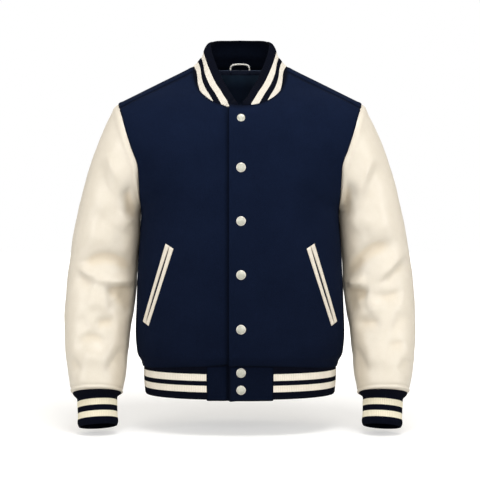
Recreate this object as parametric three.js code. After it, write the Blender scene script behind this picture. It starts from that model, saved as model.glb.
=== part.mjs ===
// A varsity jacket in the hollow shape that it has when it is worn, in mm.
// It faces -Y, +X is the wearer's left and +Z is up. The origin lies midway between
// the two points where the neckline crosses the ridge of the shoulders.

import * as THREE from 'three';

// Driving sizes

const seamGap = 0.3;
const wall = { wool: 2, leather: 2, rib: 3, lining: 1, tape: 1.2 };
const frontOverlap = 20;
const collarStart = 5;
const underDrop = 2.6;
const underDropWhole = 42;
const underDropGone = 70;

// Horizontal sections of the torso are rounded ovals of this exponent
const ovalPower = 2.3;
const torsoRows = [
  { z: 5, front: 15, back: 76 },
  { z: 0, front: 20, back: 78 },
  { z: -20, front: 39, back: 90 },
  { z: -45, front: 60, back: 104 },
  { z: -77, half: 243, front: 92, back: 116 },
  { z: -100, half: 258, front: 109, back: 121 },
  { z: -130, half: 267, front: 120, back: 125 },
  { z: -160, half: 263, front: 126, back: 127 },
  { z: -190, half: 249, front: 129, back: 128 },
  { z: -220, half: 230, front: 130.5, back: 127.5 },
  { z: -250, half: 213, front: 131.3, back: 126 },
  { z: -285, half: 197.5, front: 131.5, back: 123 },
  { z: -330, half: 199, front: 131.3, back: 120 },
  { z: -376, half: 202, front: 131, back: 118.5 },
  { z: -470, half: 206, front: 131, back: 119.5 },
  { z: -560, half: 206, front: 131, back: 122 },
  { z: -575, half: 203.5, front: 129.5, back: 121 },
  { z: -588, half: 196, front: 119, back: 112 },
  { z: -600, half: 191, front: 118, back: 111 },
];
const neck = { side: 92, frontDrop: 90, backRise: 4, power: 2.4 };
const tip = { x: 243, z: -77 };
const armpit = { x: 197.5, z: -285 };
const armholeRows = [
  { z: -77, x: 243 },
  { z: -96, x: 235 },
  { z: -139, x: 221 },
  { z: -172, x: 210 },
  { z: -206, x: 198.2 },
  { z: -225, x: 197.5 },
  { z: -285, x: 197.5 },
];
const armholeStep = 15;
const hemSeam = { centre: -588, side: -600 };

// Rows of the panels: below the armpit they run from the centre to the side seam, and above
// it to a point of the armhole every 15 degrees
const sideHeights = [-600, -592, -578, -555, -515, -470, -420, -370, -325, -285];
const centreAtArmpit = -250;
const frontCentreHeights = [-220, -190, -158, -124];
const frontNeckAngles = [20, 37, 53, 69, 83.8];
const backCentreHeights = [-210, -165, -120, -75, -35];
const backNeckAngles = [180, 163, 146, 130, 115, 102, 90, 87, 83.8];
const frontColumns = 12;
const backColumns = 9;

// Rings of the sleeve from the armhole to the cuff: its outer and inner point seen from the
// front, its half depth, the place of its middle and its forward tilt in degrees
const sleeveRows = [
  { k: 0, outX: 243, outZ: -77, inX: 197.5, inZ: -285, depth: 83, y: 0, tilt: 0 },
  { k: 1, outX: 258, outZ: -100, inX: 197.5, inZ: -292, depth: 82, y: 1, tilt: 0 },
  { k: 2, outX: 280, outZ: -148, inX: 198, inZ: -300, depth: 81, y: 2, tilt: 0 },
  { k: 3, outX: 301, outZ: -208, inX: 200, inZ: -315, depth: 79, y: 3, tilt: 0 },
  { k: 4, outX: 318, outZ: -268, inX: 202, inZ: -340, depth: 77, y: 4, tilt: 0 },
  { k: 5, outX: 331, outZ: -328, inX: 204, inZ: -375, depth: 75, y: 5, tilt: 0 },
  { k: 6, outX: 340, outZ: -388, inX: 206, inZ: -415, depth: 73, y: 6, tilt: 0 },
  { k: 7, outX: 345, outZ: -428, inX: 206, inZ: -440, depth: 72, y: 3, tilt: 4 },
  { k: 8, outX: 347, outZ: -468, inX: 210, inZ: -475, depth: 70, y: -4, tilt: 8 },
  { k: 9, outX: 347, outZ: -527, inX: 218, inZ: -529, depth: 66, y: -18, tilt: 13 },
  { k: 10, outX: 344, outZ: -566, inX: 221.5, inZ: -569, depth: 63, y: -28, tilt: 15 },
  { k: 11, outX: 338, outZ: -604, inX: 224, inZ: -607, depth: 59, y: -40, tilt: 17 },
  { k: 12, outX: 330, outZ: -641, inX: 229.6, inZ: -641, depth: 53, y: -51, tilt: 18 },
  { k: 13, outX: 326, outZ: -648, inX: 232, inZ: -645, depth: 45, y: -53, tilt: 18 },
];
const sleevePower = 2.2;
const sleeveSteps = 26;
const sleeveOwnShape = [{ k: 0, share: 0 }, { k: 1, share: 0.5 }, { k: 2, share: 0.8 }, { k: 3, share: 1 }];
const bodyClearance = [{ k: 0, gap: 0 }, { k: 1, gap: 1.2 }, { k: 2, gap: 2.2 }, { k: 3, gap: 3 }];

// The largest folds of the sleeves. Their ends are places on the plane y = 0 as they look
// from a viewing point in front of the jacket; bow lifts the middle of the line
const viewing = { distance: 2200, height: -348 };
const foldsRightSleeve = [
  { x0: -236, z0: -250, x1: -204, z1: -306, bow: 6, width: 13, height: -4 },
  { x0: -232, z0: -236, x1: -202, z1: -248, bow: 4, width: 11, height: 2.5 },
  { x0: -316, z0: -396, x1: -210, z1: -408, bow: 22, width: 15, height: -5 },
  { x0: -318, z0: -410, x1: -208, z1: -430, bow: 4, width: 15, height: 3.5 },
  { x0: -268, z0: -456, x1: -210, z1: -456, bow: -6, width: 13, height: -5 },
  { x0: -320, z0: -486, x1: -255, z1: -498, bow: 4, width: 16, height: 2.5 },
  { x0: -326, z0: -556, x1: -262, z1: -566, bow: 16, width: 14, height: -2.5 },
];
const foldsLeftSleeve = [
  { x0: 209, z0: -262, x1: 217, z1: -312, bow: 4, width: 13, height: -4 },
  { x0: 212, z0: -238, x1: 240, z1: -252, bow: 4, width: 11, height: 3 },
  { x0: 212, z0: -414, x1: 318, z1: -370, bow: 14, width: 15, height: -5.5 },
  { x0: 321, z0: -382, x1: 276, z1: -438, bow: 6, width: 15, height: 4 },
  { x0: 212, z0: -450, x1: 256, z1: -458, bow: -4, width: 13, height: -5.5 },
  { x0: 256, z0: -498, x1: 300, z1: -508, bow: 4, width: 14, height: 3 },
  { x0: 274, z0: -568, x1: 328, z1: -558, bow: 14, width: 14, height: -3 },
];

const cuffAxis = { x: -0.07, y: -0.31, z: -0.95 };
const cuffRows = [
  { w: 0, across: 47, depth: 45, own: 0 },
  { w: 3, across: 44, depth: 41, own: 0.5 },
  { w: 8, across: 40, depth: 36.5, own: 1 },
  { w: 22, across: 38.5, depth: 34, own: 1 },
  { w: 45, across: 38, depth: 33.5, own: 1 },
  { w: 62, across: 38, depth: 33.5, own: 1 },
  { w: 65, across: 36.6, depth: 32.2, own: 1 },
];

// The free top edge of the collar, by angle round the neck from the centre front
const collarTopRows = [
  { angle: 0, x: 5, y: -103, z: -86 },
  { angle: 15, x: 13, y: -88, z: -74 },
  { angle: 30, x: 23, y: -72, z: -62 },
  { angle: 45, x: 34, y: -56, z: -37 },
  { angle: 60, x: 46, y: -36, z: -8 },
  { angle: 75, x: 55, y: -17, z: 20 },
  { angle: 90, x: 60, y: 2, z: 44 },
  { angle: 112, x: 54, y: 30, z: 54 },
  { angle: 135, x: 42, y: 48, z: 59 },
  { angle: 157, x: 22, y: 59, z: 61 },
  { angle: 180, x: 0, y: 62, z: 62 },
];
const collarBulge = 4;
const collarRollIn = 1.2;

// How far the sides of the collar stand out from a straight line between seam and free edge,
// by the share of the way up, and where round the neck this shape begins and is whole
const collarProfileRows = [
  { share: 0, out: 0 },
  { share: 0.2, out: -2 },
  { share: 0.45, out: -2.4 },
  { share: 0.65, out: 1.2 },
  { share: 0.82, out: 3.6 },
  { share: 0.94, out: 3.2 },
  { share: 1, out: 1.2 },
];
const collarProfileFrom = 55;
const collarProfileWhole = 80;

const tabColumns = 4;
const ribBottom = -651;
const hemScale = 0.985;
const hemRollIn = 0.8;
const ribShares = [0, 0.12, 0.5, 0.94, 1];
const tabBottom = -653.7;
const tabShares = [0, 0.15, 0.55, 0.95, 1];

const pocket = {
  top: { x: 134, z: -360 },
  length: 161,
  lean: Math.atan2(48, 150),
  endSlant: THREE.MathUtils.degToRad(15),
  halfWidth: 9.5,
  slot: 1,
  lift: 0.5,
  edge: { width: 1.4, height: 1.4 },
  height: 2.1,
  steps: 15,
};

const snap = { x: 2, radius: 9, height: 3, segments: 16, lift: 0.3 };
const snapHeights = [-117, -211.4, -312.4, -413.9, -516.6, -599.6, -632];

const liningRows = { first: 11, last: 21 };
const liningColumns = 5;
const tape = { height: 8, below: 4, inset: 0.97, angles: [112, 121, 130, 141, 154, 167, 180] };

// The hanger loop, by height, from the end of a leg to the top of its arch; lean is how far
// it comes forward of the tape
const loopRows = [
  { x: 19, z: -7, lean: 0 },
  { x: 19.3, z: -1.5, lean: 0 },
  { x: 19.3, z: 5, lean: 2 },
  { x: 16, z: 11.5, lean: 4 },
  { x: 8, z: 14.8, lean: 5 },
];
const loop = { top: 15.2, topLean: 5, thickness: 3.6, sides: 8, steps: 26 };

const finish = {
  wool: { color: 0x16203a, roughness: 0.95, metalness: 0 },
  leather: { color: 0xf1eadd, roughness: 0.5, metalness: 0 },
  rib: { color: 0x0f1322, roughness: 0.9, metalness: 0 },
  lining: { color: 0x0a1020, roughness: 0.45, metalness: 0 },
  tape: { color: 0x10182e, roughness: 0.8, metalness: 0 },
  snap: { color: 0xdedad2, roughness: 0.35, metalness: 0.2 },
  loop: { color: 0xe8e2d4, roughness: 0.7, metalness: 0 },
};

// Curves and vectors

const { lerp, degToRad, clamp, smoothstep } = THREE.MathUtils;
const vector = (x, y, z) => new THREE.Vector3(x, y, z);
const power = (value, exponent) => Math.sign(value) * Math.abs(value) ** exponent;
const mirrored = point => vector(-point.x, point.y, point.z);

// A smooth function through the rows of a table that fill this column, level past its ends
function curve(rows, key, name) {
  const used = rows.filter(row => row[name] !== undefined).sort((a, b) => a[key] - b[key]);
  const at = used.map(row => row[key]);
  const value = used.map(row => row[name]);
  const last = used.length - 1;
  const rise = i => (value[i + 1] - value[i]) / (at[i + 1] - at[i]);
  const slope = i => {
    if (i === 0) return rise(0);
    if (i === last) return rise(last - 1);
    const before = at[i] - at[i - 1];
    const after = at[i + 1] - at[i];
    return (rise(i - 1) * after + rise(i) * before) / (before + after);
  };
  return x => {
    if (x <= at[0]) return value[0];
    if (x >= at[last]) return value[last];
    const i = at.findIndex((_, j) => x <= at[j + 1]);
    const span = at[i + 1] - at[i];
    const t = (x - at[i]) / span;
    const rest = 1 - t;
    const start = value[i] + t * (2 * value[i] + span * slope(i));
    const end = value[i + 1] + rest * (2 * value[i + 1] - span * slope(i + 1));
    return rest * rest * start + t * t * end;
  };
}

// Walls

// Triangles of a grid of point numbers, cut along the shorter diagonal. A row may leave out
// its first points
function gridTriangles(ids, points) {
  const triangles = [];
  for (let r = 0; r + 1 < ids.length; r++) {
    for (let c = 0; c + 1 < ids[r].length; c++) {
      const [a, b] = [ids[r][c], ids[r][c + 1]];
      const [d, e] = [ids[r + 1][c], ids[r + 1][c + 1]];
      if ([a, b, d, e].includes(undefined)) continue;
      if (points[a].distanceTo(points[e]) <= points[b].distanceTo(points[d])) {
        triangles.push([a, b, e], [a, e, d]);
      } else {
        triangles.push([a, b, d], [b, e, d]);
      }
    }
  }
  return triangles;
}

function vertexNormals(points, triangles) {
  const normals = points.map(() => vector(0, 0, 0));
  for (const [a, b, c] of triangles) {
    const side = points[b].clone().sub(points[a]);
    const face = side.cross(points[c].clone().sub(points[a]));
    for (const i of [a, b, c]) normals[i].add(face);
  }
  return normals.map(normal => normal.normalize());
}

// A closed body: outer points, the same points on the inside, and a rim round each open edge
function closedWall(outer, inner, triangles) {
  const count = outer.length;
  const edges = new Set(triangles.flatMap(([a, b, c]) => [`${a} ${b}`, `${b} ${c}`, `${c} ${a}`]));
  const faces = triangles.flatMap(([a, b, c]) => [a, b, c, c + count, b + count, a + count]);
  for (const [a, b, c] of triangles) {
    for (const [from, to] of [[a, b], [b, c], [c, a]]) {
      if (edges.has(`${to} ${from}`)) continue;
      faces.push(to, from, from + count, to, from + count, to + count);
    }
  }
  const points = [...outer, ...inner];
  let volume = 0;
  for (let i = 0; i < faces.length; i += 3) {
    const [a, b, c] = [points[faces[i]], points[faces[i + 1]], points[faces[i + 2]]];
    volume += a.dot(b.clone().cross(c));
  }
  if (volume < 0) faces.reverse();
  const geometry = new THREE.BufferGeometry();
  geometry.setAttribute('position', new THREE.Float32BufferAttribute(points.flatMap(p => p.toArray()), 3));
  geometry.setIndex(faces);
  geometry.computeVertexNormals();
  return geometry;
}

function movedIn(points, normals, depth) {
  return points.map((point, i) => point.clone().addScaledVector(normals[i], -depth));
}

// At a seam, a wall's thickness doesn't lean towards the neighbour that it leaves
function uprightRim(normal, away) {
  return normal.clone().addScaledVector(away, -Math.max(0, normal.dot(away)));
}

// The direction on the torso that crosses an edge, pointing to the side where middle lies
function acrossEdge(before, after, point, normal, middle) {
  const along = after.clone().sub(before).normalize();
  const away = along.cross(normal).normalize();
  return away.dot(middle.clone().sub(point)) < 0 ? away.negate() : away;
}

const jacket = new THREE.Group();

function addMesh(name, geometry, look) {
  const mesh = new THREE.Mesh(geometry, new THREE.MeshStandardMaterial(look));
  mesh.name = name;
  jacket.add(mesh);
  return mesh;
}

// Torso form

const halfBelowTip = curve(torsoRows, 'z', 'half');
const depthFront = curve(torsoRows, 'z', 'front');
const depthBack = curve(torsoRows, 'z', 'back');
const armholeX = curve(armholeRows, 'z', 'x');

function torsoHalf(z) {
  if (z < tip.z) return halfBelowTip(z);
  return neck.side + (tip.x - neck.side) * (z / tip.z);
}

function torsoDepth(z, isFront) {
  return isFront ? depthFront(z) : depthBack(z);
}

function torsoPoint(x, z, isFront) {
  const across = Math.min(1, Math.abs(x) / torsoHalf(z));
  const y = torsoDepth(z, isFront) * (1 - across ** ovalPower) ** (1 / ovalPower);
  return vector(x, isFront ? -y : y, z);
}

function torsoNormal(point) {
  const level = (x, y, z) => {
    const across = Math.abs(x) / torsoHalf(z);
    const deep = Math.abs(y) / torsoDepth(z, point.y < 0);
    return across ** ovalPower + deep ** ovalPower;
  };
  const { x, y, z } = point;
  const step = 0.25;
  return vector(
    level(x + step, y, z) - level(x - step, y, z),
    level(x, y + step, z) - level(x, y - step, z),
    level(x, y, z + step) - level(x, y, z - step),
  ).normalize();
}

function neckPoint(angle) {
  const turn = degToRad(angle);
  const x = neck.side * power(Math.sin(turn), 2 / neck.power);
  if (angle > 90) return { x, z: neck.backRise * Math.cos(turn) ** 2 };
  return { x, z: -neck.frontDrop * power(Math.cos(turn), 2 / neck.power) };
}

function armholePoint(angle) {
  const middle = (tip.z + armpit.z) / 2;
  const drop = (tip.z - armpit.z) / 2;
  const z = middle - drop * Math.cos(degToRad(angle));
  return torsoPoint(angle % 360 === 0 ? armpit.x : armholeX(z), z, angle < 180);
}

const armholeAngles = Array.from({ length: 360 / armholeStep }, (_, i) => i * armholeStep);
const armholeLoop = armholeAngles.map(armholePoint);

// Body panels

function panelRow({ inner, outer, isFront }, columns) {
  const edge = Math.asin(Math.min(1, outer.x / torsoHalf(outer.z)) ** (ovalPower / 2));
  return Array.from({ length: columns + 1 }, (_, c) => {
    const share = Math.sin((c / columns) * edge) / Math.sin(edge);
    const x = lerp(inner.x, outer.x, share);
    return torsoPoint(x, lerp(inner.z, outer.z, share), isFront);
  });
}

// The angle round the front of the neck at which the neckline is this far from the centre
function neckAngleAt(x) {
  return THREE.MathUtils.radToDeg(Math.asin((x / neck.side) ** (neck.power / 2)));
}

function panelRows(centreX, centreHeights, neckAngles, armholeTurns, isFront) {
  const centreAt = z => lerp(hemSeam.centre, centreAtArmpit, (z - hemSeam.side) / (armpit.z - hemSeam.side));
  const low = sideHeights.map(z => ({
    inner: { x: centreX, z: centreAt(z) },
    outer: { x: torsoHalf(z), z },
    isFront,
  }));
  const inner = [...centreHeights.map(z => ({ x: centreX, z })), ...neckAngles.map(neckPoint)];
  const high = inner.map((point, i) => ({
    inner: point,
    outer: armholePoint(armholeTurns[i]),
    isFront: armholeTurns[i] <= 180,
  }));
  return [...low, ...high];
}

// Pull an edge back along the surface, to leave half of the seam gap
function trimEdge(edge, beside, distance = seamGap / 2) {
  edge.forEach((point, i) => {
    const back = beside[i].clone().sub(point).setLength(distance);
    point.add(back);
  });
}

const frontTurns = armholeAngles.filter(angle => angle > 0 && angle <= 150);
const backTurns = armholeAngles.filter(angle => angle >= 150).reverse();
const frontNeck = [neckAngleAt(frontOverlap), ...frontNeckAngles];
const frontGrid = panelRows(frontOverlap, frontCentreHeights, frontNeck, frontTurns, true)
  .map(row => panelRow(row, frontColumns));

// The strip where the fronts overlap has the same level rows on both of them
const stripGrid = frontGrid.slice(0, -frontNeckAngles.length).map((row, r, rows) => {
  const z = r === rows.length - 1 ? -neck.frontDrop : row[0].z;
  return [torsoPoint(-frontOverlap, z, true), torsoPoint(collarStart, z, true)];
});
const backGrid = panelRows(0, backCentreHeights, backNeckAngles, backTurns, false)
  .map(row => panelRow(row, backColumns));

// How far the right front lies under the left one, by the distance from the centre line
function underFront(x) {
  return underDrop * (1 - smoothstep(x, underDropWhole, underDropGone));
}

function frontPanel(isLeft) {
  const drop = point => (isLeft ? 0 : underFront(point.x));
  const placed = point => point.clone().addScaledVector(torsoNormal(point), -drop(point));
  const normals = [...stripGrid, ...frontGrid].flat().map(torsoNormal);
  const strip = stripGrid.map(row => row.map(placed));
  const main = frontGrid.map(row => row.map(placed));
  const place = isLeft ? p => p : mirrored;
  const edge = [...strip[0], ...main[0]].map(place);
  const last = main.length - 1;
  trimEdge(main[last], main[last - 1]);
  const below = main.slice(0, sideHeights.length);
  trimEdge(below.map(row => row[frontColumns]), below.map(row => row[frontColumns - 1]));
  const points = [...strip, ...main].flat();
  const numbers = main.map((row, r) => [
    ...(r < strip.length ? [2 * r, 2 * r + 1] : [undefined, undefined]),
    ...row.map((_, c) => 2 * strip.length + r * row.length + c),
  ]);
  const triangles = gridTriangles(numbers, points);
  const outer = points.map(place);
  const inner = movedIn(points, normals, wall.wool).map(place);
  const name = isLeft ? 'front_left' : 'front_right';
  addMesh(name, closedWall(outer, inner, triangles), finish.wool);
  return { edge: edge.map(point => point.clone()), outer, triangles };
}

// Both halves of the back share the points of the centre line, up to the neckline
function backPanel() {
  const points = [];
  const normals = [];
  const numbers = { left: [], right: [] };
  const grid = backGrid.map(row => row.map(point => point.clone()));
  const allNormals = grid.map(row => row.map(torsoNormal));
  const last = grid.length - 1;
  trimEdge(grid[last], grid[last - 1]);
  const below = grid.slice(0, sideHeights.length);
  trimEdge(below.map(row => row[backColumns]), below.map(row => row[backColumns - 1]));
  const add = (point, normal) => {
    normals.push(normal);
    return points.push(point) - 1;
  };
  grid.forEach((row, r) => {
    numbers.left.push(row.map((point, c) => add(point, allNormals[r][c])));
    numbers.right.push(row.map((point, c) => {
      if (Math.abs(point.x) < 1e-6) return numbers.left[r][c];
      return add(mirrored(point), mirrored(allNormals[r][c]));
    }));
  });
  return { points, normals, numbers };
}

const leftFront = frontPanel(true);
const rightFront = frontPanel(false);
const back = backPanel();

function bothHalves(numbers, points) {
  const left = gridTriangles(numbers.left, points);
  const right = gridTriangles(numbers.right, points).map(triangle => [...triangle].reverse());
  return [...left, ...right];
}

addMesh('back', closedWall(
  back.points,
  movedIn(back.points, back.normals, wall.wool),
  bothHalves(back.numbers, back.points),
), finish.wool);

// Sleeves

const sleeveColumn = Object.fromEntries(
  ['outX', 'outZ', 'inX', 'inZ', 'depth', 'y', 'tilt'].map(name => [name, curve(sleeveRows, 'k', name)]),
);
const ownShape = curve(sleeveOwnShape, 'k', 'share');
const clearanceAt = curve(bodyClearance, 'k', 'gap');

function sleeveFrame(k) {
  const out = vector(sleeveColumn.outX(k), sleeveColumn.y(k), sleeveColumn.outZ(k));
  const inside = vector(sleeveColumn.inX(k), sleeveColumn.y(k), sleeveColumn.inZ(k));
  const across = out.clone().sub(inside).multiplyScalar(0.5);
  const tilt = degToRad(sleeveColumn.tilt(k));
  return {
    middle: out.clone().add(inside).multiplyScalar(0.5),
    radius: across.length(),
    across: across.normalize(),
    deep: vector(0, Math.cos(tilt), -Math.sin(tilt)),
    beside: vector(-across.z, 0, across.x),
    depth: sleeveColumn.depth(k),
  };
}

// A point's place in the frame of the armhole, so that the first rings keep its shape
const armholeFrame = sleeveFrame(0);
const armholeShape = armholeLoop.map(point => {
  const from = point.clone().sub(armholeFrame.middle);
  return {
    across: from.dot(armholeFrame.across) / armholeFrame.radius,
    deep: from.y / armholeFrame.depth,
    beside: from.dot(armholeFrame.beside),
  };
});

// The larger of two numbers, rounded off where they meet
const softLarger = (a, b, round) => (a + b + Math.hypot(a - b, round)) / 2;

// The least x that a sleeve point may have beside the body
function bodySide(y, z) {
  const deep = Math.min(1, Math.abs(y) / torsoDepth(z, y < 0));
  const form = torsoHalf(z) * (1 - deep ** ovalPower) ** (1 / ovalPower);
  return z > armpit.z ? Math.min(form, armholeX(z)) : form;
}

function sleeveRing(k) {
  const frame = sleeveFrame(k);
  const share = ownShape(k);
  return armholeAngles.map((angle, i) => {
    const turn = degToRad(angle);
    const own = {
      across: -power(Math.cos(turn), 2 / sleevePower),
      deep: -power(Math.sin(turn), 2 / sleevePower),
    };
    const point = frame.middle.clone()
      .addScaledVector(frame.across, frame.radius * lerp(armholeShape[i].across, own.across, share))
      .addScaledVector(frame.deep, frame.depth * lerp(armholeShape[i].deep, own.deep, share))
      .addScaledVector(frame.beside, (1 - share) * armholeShape[i].beside);
    const free = Math.min(1, k);
    point.x = lerp(point.x, softLarger(point.x, bodySide(point.y, point.z) + clearanceAt(k), 2), free);
    return point;
  });
}

function fadeAlong(t) {
  return Math.exp(-1.5 * (2 * t - 1) ** 4);
}

// Height of the folds at a point, for one side of the sleeve
function foldHeight(point, folds) {
  const nearness = viewing.distance / (viewing.distance + point.y);
  const seen = { x: point.x * nearness, z: viewing.height + (point.z - viewing.height) * nearness };
  let height = 0;
  for (const fold of folds) {
    const [dx, dz] = [fold.x1 - fold.x0, fold.z1 - fold.z0];
    const length = Math.hypot(dx, dz);
    const along = ((seen.x - fold.x0) * dx + (seen.z - fold.z0) * dz) / length ** 2;
    const bowed = fold.bow * (1 - (2 * clamp(along, 0, 1) - 1) ** 2);
    const upward = dx < 0 ? -1 : 1;
    const off = upward * ((seen.z - fold.z0) * dx - (seen.x - fold.x0) * dz) / length - bowed;
    height += fold.height * Math.exp(-((off / fold.width) ** 2)) * fadeAlong(along);
  }
  return height;
}

function mirroredFold(fold) {
  return { ...fold, x0: -fold.x0, x1: -fold.x1 };
}

// The back of a sleeve has the folds of the other sleeve's front, as a cloth that hangs does
function foldedPoint(point, normal, frontFolds, backFolds) {
  const front = smoothstep(-normal.y, 0, 0.5) * foldHeight(point, frontFolds);
  const behind = smoothstep(normal.y, 0, 0.5) * foldHeight(point, backFolds);
  return point.clone().addScaledVector(normal, front + behind);
}

// Numbers of a tube's points; each ring closes on itself
function tubeNumbers(rings, columns) {
  return Array.from({ length: rings }, (_, r) =>
    Array.from({ length: columns + 1 }, (__, c) => r * columns + (c % columns)));
}

function outwardNormals(points, triangles, middle) {
  const normals = vertexNormals(points, triangles);
  const total = points.reduce((sum, p, i) => sum + p.clone().sub(middle).dot(normals[i]), 0);
  return total < 0 ? normals.map(normal => normal.negate()) : normals;
}

function buildSleeve(isLeft) {
  const columns = armholeAngles.length;
  const lastRow = sleeveRows.length - 1;
  const rows = Array.from({ length: sleeveSteps + 1 }, (_, i) => lastRow * (i / sleeveSteps));
  const rings = rows.map(sleeveRing);
  const middle = armholeFrame.middle;
  const away = armholeLoop.map((point, i) => acrossEdge(
    armholeLoop[(i + columns - 1) % columns],
    armholeLoop[(i + 1) % columns],
    point,
    torsoNormal(point),
    middle,
  ));
  rings[0] = armholeLoop.map((point, i) => point.clone().addScaledVector(away[i], seamGap));
  const smooth = rings.flat();
  const triangles = gridTriangles(tubeNumbers(rings.length, columns), smooth);
  const centre = sleeveFrame(5).middle;
  const plain = outwardNormals(smooth, triangles, centre);
  const frontFolds = isLeft ? foldsLeftSleeve : foldsRightSleeve.map(mirroredFold);
  const backFolds = isLeft ? foldsRightSleeve.map(mirroredFold) : foldsLeftSleeve;
  const outer = smooth.map((point, i) => {
    const ring = Math.floor(i / columns);
    if (ring === 0 || ring === rings.length - 1) return point;
    return foldedPoint(point, plain[i], frontFolds, backFolds);
  });
  const normals = outwardNormals(outer, triangles, centre);
  away.forEach((direction, i) => {
    normals[i] = uprightRim(normals[i], direction);
  });
  const place = isLeft ? p => p : mirrored;
  const inner = movedIn(outer, normals, wall.leather);
  const name = isLeft ? 'sleeve_left' : 'sleeve_right';
  addMesh(name, closedWall(outer.map(place), inner.map(place), triangles), finish.leather);
  return rings[rings.length - 1];
}

// Cuffs

function buildCuff(isLeft, wrist) {
  const columns = armholeAngles.length;
  const axis = vector(cuffAxis.x, cuffAxis.y, cuffAxis.z).normalize();
  const frame = sleeveFrame(sleeveRows.length - 1);
  const across = frame.across.clone().addScaledVector(axis, -frame.across.dot(axis)).normalize();
  const deep = frame.deep.clone().addScaledVector(axis, -frame.deep.dot(axis)).normalize();
  const outer = cuffRows.flatMap(row => wrist.map((start, i) => {
    const turn = degToRad(armholeAngles[i]);
    const own = frame.middle.clone()
      .addScaledVector(across, -row.across * Math.cos(turn))
      .addScaledVector(deep, -row.depth * Math.sin(turn));
    return start.clone().lerp(own, row.own).addScaledVector(axis, row.w + seamGap);
  }));
  const triangles = gridTriangles(tubeNumbers(cuffRows.length, columns), outer);
  const normals = outwardNormals(outer, triangles, frame.middle.clone().addScaledVector(axis, 30));
  for (let i = 0; i < columns; i++) normals[i] = uprightRim(normals[i], axis);
  const place = isLeft ? p => p : mirrored;
  const inner = movedIn(outer, normals, wall.rib);
  const name = isLeft ? 'cuff_left' : 'cuff_right';
  addMesh(name, closedWall(outer.map(place), inner.map(place), triangles), finish.rib);
}

for (const isLeft of [true, false]) buildCuff(isLeft, buildSleeve(isLeft));

// Collar

const collarTop = {
  x: curve(collarTopRows, 'angle', 'x'),
  y: curve(collarTopRows, 'angle', 'y'),
  z: curve(collarTopRows, 'angle', 'z'),
};

// How far the collar stands out at a share of the way up its height
function collarPuff(share, angle, height) {
  const { out } = collarProfileRows.find(row => row.share === share);
  const plain = Math.sin(Math.PI * share) * Math.min(collarBulge, height / 12);
  return lerp(plain, out, smoothstep(angle, collarProfileFrom, collarProfileWhole));
}

// The neckline from the centre front of the left side round the back to the right side
function necklinePoints() {
  const behind = backNeckAngles.filter(angle => angle > frontNeckAngles.at(-1)).reverse();
  const angles = [neckAngleAt(collarStart), ...frontNeck, ...behind];
  const half = angles.map(angle => {
    const { x, z } = neckPoint(angle);
    const point = torsoPoint(angle === 180 ? 0 : x, z, angle < 90);
    return { angle, point, normal: torsoNormal(point), drop: 0 };
  });
  const other = half.slice(0, -1).reverse().map(({ angle, point, normal }) => {
    const drop = underFront(point.x) * (angle < 90 ? 1 : 0);
    const under = point.clone().addScaledVector(normal, -drop);
    return { angle, point: mirrored(under), normal: mirrored(normal), drop };
  });
  return [...half, ...other];
}

function buildCollar() {
  const base = necklinePoints();
  const last = base.length - 1;
  const middle = vector(0, 0, 40);
  const away = base.map(({ point, normal }, i) => acrossEdge(
    base[Math.max(0, i - 1)].point,
    base[Math.min(last, i + 1)].point,
    point,
    normal,
    middle,
  ));
  const outer = collarProfileRows.flatMap(({ share }) => base.map(({ angle, point, drop }, i) => {
    const side = i > last / 2 ? -1 : 1;
    const start = point.clone().addScaledVector(away[i], seamGap);
    const end = vector(side * collarTop.x(angle), collarTop.y(angle) + drop, collarTop.z(angle));
    const puff = collarPuff(share, angle, end.distanceTo(start));
    const outward = vector(start.x, start.y, 0).normalize();
    const rolled = share === 1 ? -collarRollIn : 0;
    return start.lerp(end, share).addScaledVector(outward, puff + rolled);
  }));
  const columns = base.length;
  const numbers = collarProfileRows.map((_, r) => base.map((__, c) => r * columns + c));
  const triangles = gridTriangles(numbers, outer);
  const normals = outwardNormals(outer, triangles, vector(0, -10, 0));
  away.forEach((direction, i) => {
    normals[i] = uprightRim(normals[i], direction);
  });
  addMesh('collar', closedWall(outer, movedIn(outer, normals, wall.rib), triangles), finish.rib);
}

buildCollar();

// Hem: a rib band round the body, and a plain tab under each front edge

function hangingBand(name, top, bottomZ, shares, thickness, look) {
  const columns = top.length;
  const outer = shares.flatMap((share, row) => top.map(point => {
    const start = point.clone().add(vector(0, 0, -seamGap));
    const scale = lerp(1, hemScale, share);
    const rolled = row === shares.length - 1 ? -hemRollIn : 0;
    const level = torsoNormal(point).setZ(0).normalize();
    const place = vector(start.x * scale, start.y * scale, lerp(start.z, bottomZ, share));
    return place.addScaledVector(level, rolled);
  }));
  const numbers = shares.map((_, r) => Array.from({ length: columns }, (__, c) => r * columns + c));
  const triangles = gridTriangles(numbers, outer);
  const normals = outwardNormals(outer, triangles, vector(0, 0, bottomZ + 30)).map((normal, i) => {
    const column = i % columns;
    const next = column === 0 ? outer[i + 1] : outer[i - 1];
    const end = column === 0 || column === columns - 1;
    const upright = i < columns ? uprightRim(normal, vector(0, 0, -1)) : normal;
    return end ? uprightRim(upright, next.clone().sub(outer[i]).normalize()) : upright;
  });
  addMesh(name, closedWall(outer, movedIn(outer, normals, thickness), triangles), look);
  return { outer, triangles };
}

// A copy of a line of points with its ends pulled back, to part the tabs from the rib
function shortened(points, pullFirst, pullLast) {
  const line = points.map(point => point.clone());
  const last = line.length - 1;
  if (pullFirst) trimEdge([line[0]], [points[1]], seamGap);
  if (pullLast) trimEdge([line[last]], [points[last - 1]], seamGap);
  return line;
}

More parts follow.
